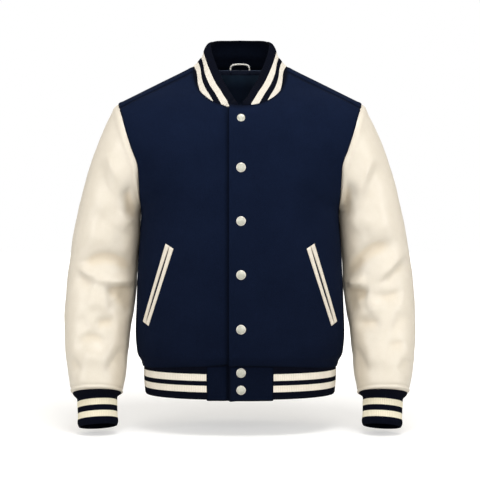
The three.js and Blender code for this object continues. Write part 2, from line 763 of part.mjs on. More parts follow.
const hemLeft = leftFront.edge;
const hemRight = rightFront.edge;
const hemBack = backGrid[0].slice(0, -1);
const ribTop = shortened([
  ...hemLeft.slice(tabColumns),
  ...[...hemBack].reverse(),
  ...hemBack.slice(1).map(mirrored),
  ...[...hemRight.slice(tabColumns)].reverse(),
], true, true);
hangingBand('hem_rib', ribTop, ribBottom, ribShares, wall.rib, finish.rib);

const tabTop = edge => shortened(edge.slice(0, tabColumns + 1), false, true);
const overTab = hangingBand('hem_tab_left', tabTop(hemLeft), tabBottom, tabShares, wall.wool, finish.wool);
hangingBand('hem_tab_right', tabTop(hemRight), tabBottom, tabShares, wall.wool, finish.wool);

// Places on a panel seen from the front

// The point and normal of a panel's outer facets at x and z
function onPanel({ outer, triangles }, x, z) {
  for (const corners of triangles) {
    const [a, b, c] = corners.map(i => outer[i]);
    const area = (b.x - a.x) * (c.z - a.z) - (c.x - a.x) * (b.z - a.z);
    const atB = ((x - a.x) * (c.z - a.z) - (c.x - a.x) * (z - a.z)) / area;
    const atC = ((b.x - a.x) * (z - a.z) - (x - a.x) * (b.z - a.z)) / area;
    const tolerance = 1e-9;
    if (atB < -tolerance || atC < -tolerance || atB + atC > 1 + tolerance) continue;
    const normal = b.clone().sub(a).cross(c.clone().sub(a)).normalize();
    if (normal.y > 0) normal.negate();
    return { point: vector(x, a.y + atB * (b.y - a.y) + atC * (c.y - a.y), z), normal };
  }
  return null;
}

// Pockets: two welts of leather beside a slot, on each front

function buildWelt(name, panel, side, from, to) {
  const down = { x: Math.sin(pocket.lean), z: -Math.cos(pocket.lean) };
  const { edge } = pocket;
  const widths = [from, from + edge.width, to - edge.width, to];
  const heights = [edge.height, pocket.height, pocket.height, edge.height];
  const outer = [];
  const inner = [];
  for (let step = 0; step <= pocket.steps; step++) {
    widths.forEach((width, i) => {
      const along = pocket.length * (step / pocket.steps) - width * Math.tan(pocket.endSlant);
      const x = pocket.top.x + down.x * along - down.z * width;
      const z = pocket.top.z + down.z * along + down.x * width;
      const { point, normal } = onPanel(panel, side * x, z);
      outer.push(point.clone().addScaledVector(normal, pocket.lift + heights[i]));
      inner.push(point.clone().addScaledVector(normal, pocket.lift));
    });
  }
  const count = widths.length;
  const numbers = Array.from({ length: pocket.steps + 1 }, (_, r) =>
    Array.from({ length: count }, (__, c) => r * count + c));
  addMesh(name, closedWall(outer, inner, gridTriangles(numbers, outer)), finish.leather);
}

for (const [sideName, panel, side] of [['left', leftFront, 1], ['right', rightFront, -1]]) {
  buildWelt(`pocket_welt_${sideName}_front`, panel, side, -pocket.halfWidth, -pocket.slot / 2);
  buildWelt(`pocket_welt_${sideName}_rear`, panel, side, pocket.slot / 2, pocket.halfWidth);
}

// Snap caps, each seated just clear of the facets under its rim

function buildSnap(name, panel, z) {
  const seat = onPanel(panel, snap.x, z);
  const around = Array.from({ length: snap.segments }, (_, i) => {
    const turn = (i / snap.segments) * 2 * Math.PI;
    return onPanel(panel, snap.x + snap.radius * Math.cos(turn), z + snap.radius * Math.sin(turn));
  }).filter(found => found);
  const highest = Math.max(0, ...around.map(({ point }) => point.clone().sub(seat.point).dot(seat.normal)));
  const { radius, height } = snap;
  const profile = [
    [0, 0],
    [radius, 0],
    [radius, 0.3 * height],
    [0.9 * radius, 0.68 * height],
    [0.6 * radius, 0.93 * height],
    [0, height],
  ].map(([r, h]) => new THREE.Vector2(r, h));
  const mesh = addMesh(name, new THREE.LatheGeometry(profile, snap.segments), finish.snap);
  mesh.quaternion.setFromUnitVectors(vector(0, 1, 0), seat.normal);
  mesh.position.copy(seat.point).addScaledVector(seat.normal, highest + snap.lift);
}

snapHeights.forEach((z, i) => {
  const panel = z > hemSeam.centre ? leftFront : overTab;
  buildSnap(`snap_${i + 1}`, panel, z);
});

// Inside the neck: lining of the upper back, neck tape and hanger loop

function buildLining() {
  const depth = wall.wool + seamGap;
  const pick = numbers => numbers.slice(liningRows.first, liningRows.last + 1)
    .map(row => row.slice(0, liningColumns + 1));
  const used = { left: pick(back.numbers.left), right: pick(back.numbers.right) };
  const list = [...new Set([...used.left.flat(), ...used.right.flat()])];
  const renumber = rows => rows.map(row => row.map(i => list.indexOf(i)));
  const skin = list.map(i => back.points[i]);
  const normals = list.map(i => back.normals[i]);
  const numbers = { left: renumber(used.left), right: renumber(used.right) };
  const outer = movedIn(skin, normals, depth);
  const inner = movedIn(skin, normals, depth + wall.lining);
  const triangles = bothHalves(numbers, outer);
  addMesh('back_lining', closedWall(outer, inner, triangles), finish.lining);
  return { outer: inner, triangles };
}

function buildTape(lining) {
  const half = tape.angles.map(angle => {
    const { x, z } = neckPoint(angle);
    const across = angle === 180 ? 0 : x * tape.inset;
    return [onPanel(lining, across, z - tape.below), onPanel(lining, across, z - tape.below - tape.height)];
  });
  const flip = ({ point, normal }) => ({ point: mirrored(point), normal: mirrored(normal) });
  const seats = [...half, ...half.slice(0, -1).reverse().map(pair => pair.map(flip))].flat();
  const raised = height => seats.map(({ point, normal }) => point.clone().addScaledVector(normal, height));
  const numbers = tape.angles.concat(tape.angles.slice(1)).map((_, r) => [2 * r, 2 * r + 1]);
  const face = raised(seamGap + wall.tape);
  const triangles = gridTriangles(numbers, face);
  addMesh('neck_tape', closedWall(face, raised(seamGap), triangles), finish.tape);
  return { outer: face, triangles };
}

function buildLoop(tapeFace) {
  const clear = loop.thickness / 2 + seamGap;
  const [foot, knee] = loopRows.slice(0, 2).map(({ x, z }) => {
    const { point, normal } = onPanel(tapeFace, x, z);
    return point.y - clear / Math.abs(normal.y);
  });
  const leg = loopRows.map(({ x, z, lean }, i) => vector(x, (i === 0 ? foot : knee) - lean, z));
  const top = vector(0, knee - loop.topLean, loop.top);
  const path = new THREE.CatmullRomCurve3([...leg, top, ...leg.map(mirrored).reverse()]);
  const section = new THREE.Shape(Array.from({ length: loop.sides }, (_, i) => {
    const turn = (i / loop.sides) * 2 * Math.PI;
    return new THREE.Vector2(Math.cos(turn), Math.sin(turn)).multiplyScalar(loop.thickness / 2);
  }));
  const settings = { extrudePath: path, steps: loop.steps, bevelEnabled: false };
  const geometry = new THREE.ExtrudeGeometry(section, settings);
  addMesh('hanger_loop', geometry, finish.loop);
}

buildLoop(buildTape(buildLining()));

export default jacket;
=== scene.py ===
"""A varsity jacket in the shape it has on a wearer: melton wool body, leather sleeves, striped rib knit.

Shapes are worked out in millimetres in the frame's own axes (-Y is the front, +X the wearer's
left, +Z up) and scaled to metres when a mesh is made.
"""

import math

import bmesh
import bpy
import numpy as np
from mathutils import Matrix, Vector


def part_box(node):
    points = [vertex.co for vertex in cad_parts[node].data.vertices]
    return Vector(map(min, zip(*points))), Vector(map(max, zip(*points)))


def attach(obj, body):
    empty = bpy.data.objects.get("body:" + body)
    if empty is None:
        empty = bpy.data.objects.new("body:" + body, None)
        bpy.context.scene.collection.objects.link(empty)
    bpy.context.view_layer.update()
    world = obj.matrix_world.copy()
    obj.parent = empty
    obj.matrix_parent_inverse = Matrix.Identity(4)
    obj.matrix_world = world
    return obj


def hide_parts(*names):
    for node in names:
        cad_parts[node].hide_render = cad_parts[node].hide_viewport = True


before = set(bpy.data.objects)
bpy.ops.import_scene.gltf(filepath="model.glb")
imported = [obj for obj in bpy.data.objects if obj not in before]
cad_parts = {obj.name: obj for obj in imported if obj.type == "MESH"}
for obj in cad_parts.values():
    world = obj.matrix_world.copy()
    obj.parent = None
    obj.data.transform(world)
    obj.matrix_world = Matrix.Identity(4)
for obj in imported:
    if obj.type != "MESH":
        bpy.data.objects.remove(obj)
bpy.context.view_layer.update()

MM = 0.001

# Sizes of the cut, in mm. Neighbours lap by a little at a seam, so that no light comes through
SEAM_LAP = 0.4
WOOL = 2.0
LEATHER = 2.0
RIB = 3.0
LINING = 1.0
TAPE = 1.2
COLLAR_START = 5.0

# The fronts lap at the middle: the right one steps back under the left one's raised edge
FRONT_OVERLAP = 20.0
UNDER_DROP = 2.6
UNDER_DROP_WHOLE = 42.0
UNDER_DROP_GONE = 70.0
EDGE_DIP = 3.6
EDGE_DIP_WIDTH = 5.0
EDGE_LIFT = 1.8
EDGE_LIFT_WIDTH = 13.0
# Painted shadow on the right front beside the left one's edge, and painted shade along the seams: place and
# widths; the hem tabs are also a little darker all over
EDGE_SHADOW_OFFSET = 2.0
EDGE_SHADOW_WIDTH = 5.5
SEAM_SHADE_WIDTH = 3.2
TAB_DARKER = 0.35

# Horizontal sections of the torso: z, half width, front depth, back depth
OVAL_POWER = 2.3
TORSO_HALF = [(-77, 243), (-100, 258), (-130, 267), (-160, 263), (-190, 249), (-220, 230), (-250, 213),
              (-285, 197.5), (-330, 199), (-376, 202), (-470, 206), (-560, 206), (-575, 203.5),
              (-588, 196), (-600, 191)]
TORSO_FRONT = [(5, 15), (0, 20), (-20, 39), (-45, 60), (-77, 92), (-100, 109), (-130, 120), (-160, 126),
               (-190, 129), (-220, 130.5), (-250, 131.3), (-285, 131.5), (-330, 131.3), (-376, 131),
               (-470, 131), (-560, 131), (-575, 129.5), (-588, 119), (-600, 118)]
TORSO_BACK = [(5, 76), (0, 78), (-20, 90), (-45, 104), (-77, 116), (-100, 121), (-130, 125), (-160, 127),
              (-190, 128), (-220, 127.5), (-250, 126), (-285, 123), (-330, 120), (-376, 118.5),
              (-470, 119.5), (-560, 122), (-575, 121), (-588, 112), (-600, 111)]
NECK_SIDE = 92.0
NECK_FRONT_DROP = 90.0
NECK_BACK_RISE = 4.0
NECK_POWER = 2.4
TIP = (243.0, -77.0)
ARMPIT = (197.5, -285.0)
ARMHOLE_X = [(-77, 243), (-96, 235), (-139, 221), (-172, 210), (-206, 198.2), (-225, 197.5), (-285, 197.5)]
HEM_SEAM_CENTRE = -588.0
HEM_SEAM_SIDE = -600.0
HEM_HALF = 191.0
HEM_BEND = 1.8
HEM_BEND_GONE = -520.0

# Rows of the panels, as on the solids
SIDE_HEIGHTS = [-600, -592, -578, -555, -515, -470, -420, -370, -325, -285]
CENTRE_AT_ARMPIT = -250.0
FRONT_CENTRE_HEIGHTS = [-220, -190, -158, -124]
FRONT_NECK_ANGLES = [20, 37, 53, 69, 83.8]
BACK_CENTRE_HEIGHTS = [-210, -165, -120, -75, -35]
BACK_NECK_ANGLES = [180, 163, 146, 130, 115, 102, 90, 87, 83.8]
ARMHOLE_STEP = 15

# Rings of the sleeve: ring, outer x and z, inner x and z, half depth, middle y, tilt in degrees
SLEEVE_COLUMNS = ("k", "out_x", "out_z", "in_x", "in_z", "depth", "y", "tilt")
SLEEVE_ROWS = [
    (0, 243, -77, 197.5, -285, 83, 0, 0),
    (1, 258, -100, 197.5, -292, 82, 1, 0),
    (2, 280, -148, 198, -300, 81, 2, 0),
    (3, 301, -208, 198, -315, 79, 3, 0),
    (4, 318, -268, 199, -340, 77, 4, 0),
    (5, 331, -328, 202.5, -375, 75, 5, 0),
    (6, 340, -388, 206, -415, 73, 6, 0),
    (7, 345, -428, 206, -440, 72, 3, 4),
    (8, 347, -468, 210, -475, 70, -4, 8),
    (9, 347, -527, 218, -529, 66, -18, 13),
    (10, 344, -566, 221.5, -569, 63, -28, 15),
    (11, 338, -604, 224, -607, 59, -40, 17),
    (12, 330, -641, 229.6, -641, 53, -51, 18),
    (13, 326, -648, 232, -645, 45, -53, 18),
]
SLEEVE_POWER = 2.2
OWN_SHAPE = [(0, 0), (1, 0.5), (2, 0.8), (3, 1)]
CLEARANCE = [(0, 0), (1, -0.4), (4, -0.4), (5, 1.5), (6, 3)]

CUFF_AXIS = np.array([-0.07, -0.31, -0.95])
CUFF_COLUMNS = ("w", "across", "depth", "own")
CUFF_ROWS = [
    (0, 47, 45, 0),
    (3, 44, 41, 0.5),
    (8, 40, 36.5, 1),
    (22, 38.5, 34, 1),
    (45, 38, 33.5, 1),
    (62, 38, 33.5, 1),
    (65, 36.6, 32.2, 1),
]

# The free top edge of the collar, by angle round the neck from the centre front
COLLAR_COLUMNS = ("angle", "x", "y", "z")
COLLAR_TOP = [
    (0, 5, -103, -86),
    (15, 13, -88, -74),
    (30, 23, -72, -56),
    (45, 34, -56, -37),
    (60, 46, -36, -8),
    (75, 55, -17, 20),
    (90, 60, 2, 44),
    (112, 54, 30, 54),
    (135, 42, 48, 59),
    (157, 22, 59, 61),
    (180, 0, 62, 62),
]
COLLAR_BULGE = 4.0
SIDE_BAND = 6.0

# How far the sides of the collar stand out from a straight line between seam and free edge
COLLAR_PROFILE = [(0, 0), (0.1, -2), (0.27, -2), (0.45, -2.4), (0.64, 1.2), (0.82, 3.6), (0.94, 3.2),
                  (1, 1.2)]

TAB_EDGE = 64.3
RIB_BOTTOM = -651.0
TAB_BOTTOM = -653.7
HEM_SCALE = 0.985

SNAP_X = 2.0
SNAP_RADIUS = 9.0
SNAP_HEIGHTS = [-117, -211.4, -312.4, -413.9, -516.6, -599.6, -632]

POCKET_TOP = (134.0, -360.0)
POCKET_LENGTH = 157.0
POCKET_LEAN = math.atan2(48, 150)
POCKET_END_SLANT = math.radians(15)
POCKET_HALF_WIDTHS = (8.7, 6.5)
POCKET_SLOT = 3.6

# The photograph's viewing point, in front of the jacket at the height of the picture's middle
VIEW_DISTANCE = 2200.0
VIEW_HEIGHT = -348.0

# Folds as they look from the viewing point, on the plane y = 0: the two ends of the line, how
# far its middle is lifted, its width and its height above the cloth
FOLDS_RIGHT_SLEEVE = [
    (-266, -180, -236, -240, 1, 11, 3.2),
    (-280, -190, -256, -268, -6, 13, -2.8),
    (-224, -244, -203, -306, -4, 10, -7.0),
    (-222, -300, -240, -330, 0, 14, 3.0),
    (-300, -290, -262, -320, 0, 18, -2.0),
    (-306, -330, -246, -352, 0, 22, 3.0),
    (-318, -396, -212, -406, 20, 11, -8.5),
    (-322, -400, -292, -424, -2, 9, 4.5),
    (-294, -424, -212, -432, -4, 9, 5.0),
    (-326, -418, -292, -440, 0, 11, -4.5),
    (-268, -448, -214, -446, 0, 11, -8.5),
    (-236, -456, -212, -490, 0, 14, -5.0),
    (-308, -474, -262, -484, 4, 14, 4.0),
    (-290, -516, -250, -510, 2, 10, -5.5),
    (-322, -500, -306, -530, 0, 12, -2.5),
    (-328, -550, -266, -556, 12, 12, -5.0),
    (-316, -582, -262, -590, 4, 16, 3.5),
    (-232, -562, -266, -612, 0, 12, -3.8),
    (-342, -580, -321, -612, 0, 10, -3.0),
]
FOLDS_LEFT_SLEEVE = [
    (268, -180, 236, -262, 3, 11, 3.0),
    (280, -196, 256, -280, 4, 13, -2.8),
    (220, -234, 203, -306, 4, 10, -6.5),
    (222, -300, 244, -332, 0, 14, 3.0),
    (304, -310, 256, -336, 0, 20, 3.0),
    (210, -424, 306, -352, 16, 11, -8.5),
    (326, -374, 274, -430, -3, 10, 4.5),
    (332, -388, 284, -436, 0, 9, -4.5),
    (216, -436, 250, -434, 0, 9, 4.5),
    (209, -448, 256, -452, -2, 11, -8.5),
    (214, -466, 236, -494, 0, 14, -4.0),
    (324, -452, 262, -462, -4, 12, -5.0),
    (256, -490, 290, -470, -3, 12, 4.0),
    (232, -514, 280, -512, 2, 10, -5.5),
    (330, -486, 300, -552, 0, 14, -3.6),
    (334, -556, 292, -566, 3, 12, -4.0),
    (226, -560, 256, -612, 0, 12, -3.8),
    (250, -592, 300, -586, 4, 16, 3.5),
    (338, -584, 320, -612, 0, 10, -3.0),
]
FOLDS_FRONT = [
    (196, -292, 120, -236, -6, 15, -2.6),
    (198, -312, 132, -272, -4, 17, 2.0),
    (-196, -290, -126, -240, 6, 15, -2.4),
    (-198, -314, -138, -270, 4, 17, 2.0),
    (150, -150, 205, -210, 5, 14, -1.8),
    (-152, -146, -206, -206, -5, 14, -1.8),
    (60, -440, 170, -540, 8, 24, -1.6),
    (-50, -430, -175, -545, 8, 24, -1.6),
    (-120, -330, -60, -470, 10, 26, 1.5),
    (120, -340, 60, -480, -10, 26, 1.5),
    (-190, -560, -80, -572, -3, 10, 1.4),
    (190, -560, 80, -572, 3, 10, 1.4),
]
FOLDS_BACK = [
    (192, -285, 100, -220, -8, 16, -3.0),
    (-190, -288, -96, -226, 8, 16, -2.8),
    (180, -330, 90, -290, -4, 20, 2.2),
    (-182, -322, -84, -296, 4, 20, 2.2),
    (140, -420, 40, -530, 10, 24, -2.2),
    (-150, -400, -44, -520, -8, 24, -2.4),
    (100, -160, 10, -190, 6, 24, 1.8),
    (-100, -150, -14, -196, 6, 22, -1.5),
    (-170, -545, -60, -560, -4, 12, 1.8),
    (168, -548, 50, -562, 4, 12, 1.8),
]


# Curves


def curve(rows, key=0, value=1):
    """A smooth function through the rows of a table, level past its ends."""
    used = sorted((row[key], row[value]) for row in rows)
    at = np.array([pair[0] for pair in used], float)
    height = np.array([pair[1] for pair in used], float)
    span = np.diff(at)
    rise = np.diff(height) / span
    slope = np.empty_like(height)
    slope[0], slope[-1] = rise[0], rise[-1]
    slope[1:-1] = (rise[:-1] * span[1:] + rise[1:] * span[:-1]) / (span[1:] + span[:-1])

    def evaluate(x):
        x = np.clip(np.asarray(x, float), at[0], at[-1])
        i = np.clip(np.searchsorted(at, x, side="right") - 1, 0, len(at) - 2)
        t = (x - at[i]) / span[i]
        rest = 1 - t
        start = height[i] + t * (2 * height[i] + span[i] * slope[i])
        end = height[i + 1] + rest * (2 * height[i + 1] - span[i] * slope[i + 1])
        return rest * rest * start + t * t * end

    return evaluate


def columns(rows, names):
    """A smooth function for each column of a table but the first, by the first."""
    return {name: curve(rows, 0, i) for i, name in enumerate(names) if i}


def smoothstep(x, low, high):
    t = np.clip((np.asarray(x, float) - low) / (high - low), 0, 1)
    return t * t * (3 - 2 * t)


def bell(x, width):
    """1 where x is 0, falling smoothly to nothing past the width on each side."""
    return np.exp(-((x / width) ** 2))


def power(value, exponent):
    return np.sign(value) * np.abs(value) ** exponent


def between(values, steps):
    """The values with this many even steps from each one to the next."""
    parts = [np.linspace(a, b, n, endpoint=False) for a, b, n in zip(values, values[1:], steps)]
    return np.concatenate([*parts, [values[-1]]])


def lengths_along(line):
    """How far along a line each of its points is."""
    return np.concatenate([[0], np.cumsum(np.linalg.norm(np.diff(line, axis=0), axis=1))])


def unit(vectors):
    length = np.linalg.norm(vectors, axis=-1, keepdims=True)
    return vectors / np.maximum(length, 1e-9)


# Meshes


def quads(ids):
    """Faces of a grid of vertex numbers; -1 is a place with no vertex."""
    a, b = ids[:-1, :-1].ravel(), ids[:-1, 1:].ravel()
    d, e = ids[1:, :-1].ravel(), ids[1:, 1:].ravel()
    faces = np.stack([a, b, e, d], axis=1)
    return faces[(faces >= 0).all(axis=1)]


def tube_ids(rings, count):
    ids = np.arange(rings * count).reshape(rings, count)
    return np.concatenate([ids, ids[:, :1]], axis=1)


def face_normals(points, faces):
    return np.cross(points[faces[:, 2]] - points[faces[:, 0]], points[faces[:, 3]] - points[faces[:, 1]])


def point_normals(points, faces):
    normals = np.zeros_like(points)
    area = face_normals(points, faces)
    for corner in range(4):
        np.add.at(normals, faces[:, corner], area)
    return unit(normals)


def outward(points, faces, middle):
    """Normals that point away from a middle, and the faces turned to match."""
    normals = point_normals(points, faces)
    if np.sum((points - middle) * normals) < 0:
        return -normals, faces[:, ::-1]
    return normals, faces


def open_edges(faces):
    edges = np.concatenate([faces[:, [i, (i + 1) % 4]] for i in range(4)])
    codes = edges[:, 0].astype(np.int64) * 10_000_000 + edges[:, 1]
    reverse = edges[:, 1].astype(np.int64) * 10_000_000 + edges[:, 0]
    return edges[~np.isin(codes, reverse)]


def make_object(name, points, faces, uv=None, face_slots=None, materials=(), painted_shade=None):
    mesh = bpy.data.meshes.new(name)
    mesh.from_pydata((points * MM).tolist(), [], [list(face) for face in faces.tolist()])
    for material in materials:
        mesh.materials.append(material)
    if face_slots is not None:
        mesh.polygons.foreach_set("material_index", face_slots.astype(np.int32))
    if uv is not None:
        corners = np.empty(len(mesh.loops), np.int32)
        mesh.loops.foreach_get("vertex_index", corners)
        layer = mesh.uv_layers.new(name="cloth")
        layer.data.foreach_set("uv", (uv[corners] * MM).astype(np.float32).ravel())
    if painted_shade is not None:
        mesh.attributes.new("painted_shade", "FLOAT", "POINT").data.foreach_set("value", painted_shade.astype(np.float32))
    mesh.shade_smooth()
    mesh.validate()
    made = bpy.data.objects.new(name, mesh)
    bpy.context.scene.collection.objects.link(made)
    return made


RIM_TURNS = [math.pi / 4, math.pi / 2, 3 * math.pi / 4]


def rim_points(outer, inner, edges, used, roundness):
    """Three rows of points that lead round a rim from the outer to the inner side."""
    away = np.zeros_like(outer)
    along = outer[edges[:, 1]] - outer[edges[:, 0]]
    side = unit(np.cross(along, outer[edges[:, 0]] - inner[edges[:, 0]]))
    for corner in range(2):
        np.add.at(away, edges[:, corner], side)
    middle = (outer[used] + inner[used]) / 2
    half = (outer[used] - inner[used]) / 2
    push = unit(away[used]) * np.linalg.norm(half, axis=1, keepdims=True) * roundness
    return [middle + half * math.cos(turn) + push * math.sin(turn) for turn in RIM_TURNS]


def wall_object(name, outer, inner, faces, uv, materials, roundness=0.5, painted_shade=None):
    """A thin closed shell: outer faces, inner faces, and a round rim along each open edge."""
    count = len(outer)
    edges = open_edges(faces)
    used = np.unique(edges)
    rows = rim_points(outer, inner, edges, used, roundness)
    number = np.full(count, 0)
    number[used] = np.arange(len(used))
    a, b = edges[:, 0], edges[:, 1]
    starts = [2 * count + i * len(used) for i in range(len(rows))]
    chain_a = [a, *[number[a] + start for start in starts], a + count]
    chain_b = [b, *[number[b] + start for start in starts], b + count]
    rims = [np.stack([b0, a0, a1, b1], axis=1)
            for a0, a1, b0, b1 in zip(chain_a, chain_a[1:], chain_b, chain_b[1:])]
    every = np.concatenate([faces, faces[:, ::-1] + count, *rims])
    slots = np.zeros(len(every))
    slots[len(faces):2 * len(faces)] = len(materials) - 1
    points = np.concatenate([outer, inner, *rows])
    uv = np.concatenate([uv, uv, *[uv[used]] * len(rows)])
    if painted_shade is not None:
        painted_shade = np.concatenate([painted_shade, painted_shade, *[painted_shade[used]] * len(rows)])
    return make_object(name, points, every, uv, slots, materials, painted_shade)


# Torso form

torso_half_low = curve(TORSO_HALF)
torso_front = curve(TORSO_FRONT)
torso_back = curve(TORSO_BACK)
armhole_x = curve(ARMHOLE_X)


def torso_half(z):
    ridge = NECK_SIDE + (TIP[0] - NECK_SIDE) * (np.asarray(z, float) / TIP[1])
    return np.where(np.asarray(z) < TIP[1], torso_half_low(z), ridge)


def torso_point(x, z, front):
    x, z = np.broadcast_arrays(np.asarray(x, float), np.asarray(z, float))
    across = np.minimum(1, np.abs(x) / torso_half(z))
    shape = (1 - across**OVAL_POWER) ** (1 / OVAL_POWER)
    y = np.where(front, -torso_front(z) * shape, torso_back(z) * shape)
    return np.stack([x, y, z], axis=-1)


def torso_normal(points):
    front = points[..., 1] < 0

    def level(x, y, z):
        depth = np.where(front, torso_front(z), torso_back(z))
        return (np.abs(x) / torso_half(z)) ** OVAL_POWER + (np.abs(y) / depth) ** OVAL_POWER

    x, y, z = points[..., 0], points[..., 1], points[..., 2]
    step = 0.25
    return unit(np.stack([
        level(x + step, y, z) - level(x - step, y, z),
        level(x, y + step, z) - level(x, y - step, z),
        level(x, y, z + step) - level(x, y, z - step),
    ], axis=-1))


def neck_xz(angle):
    turn = np.radians(angle)
    x = NECK_SIDE * power(np.sin(turn), 2 / NECK_POWER)
    front = -NECK_FRONT_DROP * power(np.cos(turn), 2 / NECK_POWER)
    back = NECK_BACK_RISE * np.cos(turn) ** 2
    return x, np.where(np.asarray(angle) > 90, back, front)


def neck_angle_at(x):
    return math.degrees(math.asin((x / NECK_SIDE) ** (NECK_POWER / 2)))


def armhole_point(angle):
    angle = np.asarray(angle, float)
    middle = (TIP[1] + ARMPIT[1]) / 2
    drop = (TIP[1] - ARMPIT[1]) / 2
    z = middle - drop * np.cos(np.radians(angle))
    return torso_point(np.minimum(armhole_x(z), torso_half(z)), z, angle % 360 < 180)


# Folds

# They hang under their own weight, so the side above a line and the one below it differ
TROUGH_SIDES = (0.8, 1.5)
RIDGE_SIDES = (1.35, 0.8)


def fold_height(points, folds):
    nearness = VIEW_DISTANCE / (VIEW_DISTANCE + points[..., 1])
    seen_x = points[..., 0] * nearness
    seen_z = VIEW_HEIGHT + (points[..., 2] - VIEW_HEIGHT) * nearness
    height = np.zeros(points.shape[:-1])
    for x0, z0, x1, z1, bow, width, rise in folds:
        dx, dz = x1 - x0, z1 - z0
        length = math.hypot(dx, dz)
        along = ((seen_x - x0) * dx + (seen_z - z0) * dz) / length**2
        bowed = bow * (1 - (2 * np.clip(along, 0, 1) - 1) ** 2)
        upward = -1 if dx < 0 else 1
        off = upward * ((seen_z - z0) * dx - (seen_x - x0) * dz) / length - bowed
        above, below = TROUGH_SIDES if rise < 0 else RIDGE_SIDES
        spread = width * np.where(off > 0, above, below)
        height += rise * bell(off, spread) * np.exp(-1.5 * (2 * along - 1) ** 4)
    return height


def scaled_folds(folds, rise_by, width_by):
    """The same folds, this much higher and wider."""
    return [(*fold[:5], fold[5] * width_by, fold[6] * rise_by) for fold in folds]


def mirrored_folds(folds):
    return [(-x0, z0, -x1, z1, bow, width, rise) for x0, z0, x1, z1, bow, width, rise in folds]


def mirrored(points):
    return points * np.array([-1, 1, 1])


def side_name(left):
    return "left" if left else "right"


def on_side(left, faces, *arrays):
    """A piece worked out on the left side, or its mirror image with the faces turned to match."""
    if left:
        return faces, *arrays
    return faces[:, ::-1], *[mirrored(array) for array in arrays]


def distance_to(points, line):
    """The distance from each point to the nearest of a line's stretches."""
    a, b = line[:-1], line[1:]
    along = b - a
    size = np.maximum(np.sum(along**2, axis=1), 1e-9)
    best = np.full(len(points), 1e9)
    for start, step, length in zip(a, along, size):
        t = np.clip((points - start) @ step / length, 0, 1)
        best = np.minimum(best, np.linalg.norm(points - start - t[:, None] * step, axis=1))
    return best


def soft_noise(points, scale, seed):
    """Smooth unevenness between -1 and 1, from a few waves in mixed directions."""
    random = np.random.default_rng(seed)
    total = np.zeros(points.shape[:-1])
    for _ in range(6):
        direction = unit(random.normal(size=3))
        total += np.sin(points @ direction * (2 * math.pi / (scale * random.uniform(0.7, 1.5)))
                        + random.uniform(0, 2 * math.pi))
    return total / 6


# Body panels

FINE_ROWS = [2, 3, 4, 7, 8, 9, 9, 8, 7]
FINE_TURN = 4
FRONT_FINE_COLUMNS = 44
BACK_FINE_COLUMNS = 48
EDGE_STEPS = np.array([1.2, 2.6, 4.6, 7.5])


def column_shares(count, length):
    """Even shares with closer ones near both ends, for the turn of the cloth into a seam."""
    inside = np.linspace(0, 1, count + 1)
    near = EDGE_STEPS / length
    inside = inside[(inside > near[-1] * 1.3) & (inside < 1 - near[-1] * 1.3)]
    return np.concatenate([[0], near, inside, 1 - near[::-1], [1]])


def panel_rows(centre_x, centre_heights, neck_angles, turns):
    """Inner and outer ends of the fine rows, and the armhole angle of those that have one."""
    side_z = between(SIDE_HEIGHTS, FINE_ROWS)
    share = (side_z - HEM_SEAM_SIDE) / (ARMPIT[1] - HEM_SEAM_SIDE)
    centre_z = HEM_SEAM_CENTRE + share * (CENTRE_AT_ARMPIT - HEM_SEAM_CENTRE)
    low_inner = np.stack([np.full_like(side_z, centre_x), centre_z], axis=1)
    low_outer = np.stack([torso_half(side_z), side_z], axis=1)
    steps = [FINE_TURN] * (len(centre_heights) + len(neck_angles))
    angle = between([turns[0], *turns[1:]], steps)[1:]
    to_neck = len(centre_heights) + 1
    start = [CENTRE_AT_ARMPIT, *centre_heights, float(neck_xz(neck_angles[0])[1])]
    heights = between(start, steps[:to_neck])[1:]
    necks = between(neck_angles, steps[to_neck:])[1:]
    neck_x, neck_z = neck_xz(necks)
    high_inner = np.concatenate([
        np.stack([np.full_like(heights, centre_x), heights], axis=1),
        np.stack([neck_x, neck_z], axis=1),
    ])
    edge = armhole_point(angle)
    inner = np.concatenate([low_inner, high_inner])
    outer = np.concatenate([low_outer, edge[:, [0, 2]]])
    all_turns = np.concatenate([np.full(len(side_z), np.nan), angle])
    return inner, outer, all_turns, len(side_z), len(side_z) + len(heights)


def panel_grid(inner, outer, turns, front, shares):
    edge = np.arcsin(np.minimum(1, outer[:, 0] / torso_half(outer[:, 1])) ** (OVAL_POWER / 2))
    share = np.sin(shares[None, :] * edge[:, None]) / np.sin(edge)[:, None]
    x = inner[:, :1] + (outer[:, :1] - inner[:, :1]) * share
    bend = 1 + (HEM_BEND - 1) * (1 - smoothstep(inner[:, 1:], HEM_SEAM_CENTRE, HEM_BEND_GONE))
    z = inner[:, 1:] + (outer[:, 1:] - inner[:, 1:]) * share**bend
    is_front = np.full(len(inner), front)
    if not front:
        is_front = np.where(np.isnan(turns), False, turns < 180)
    return torso_point(x, z, is_front[:, None])


def under_front(x):
    beside = EDGE_DIP * bell(x - FRONT_OVERLAP - EDGE_DIP_WIDTH, EDGE_DIP_WIDTH)
    return UNDER_DROP * (1 - smoothstep(x, UNDER_DROP_WHOLE, UNDER_DROP_GONE)) + beside


def seam_shape(points, normals, lines):
    """The cloth turns down into its seams and stands up a little beside them."""
    depth = np.zeros(len(points))
    for line, dip, roll in lines:
        d = distance_to(points, line)
        depth += -dip * bell(d, 1.6) + roll * bell(d - 6, 3.5)
    return points + normals * depth[:, None]


def cloth_uv(points):
    """A flat place for each point of a body panel: round the body and up."""
    turn = np.arctan2(points[:, 0] / 1.55, np.abs(points[:, 1]) + 20)
    return np.stack([turn * 200, points[:, 2]], axis=1)


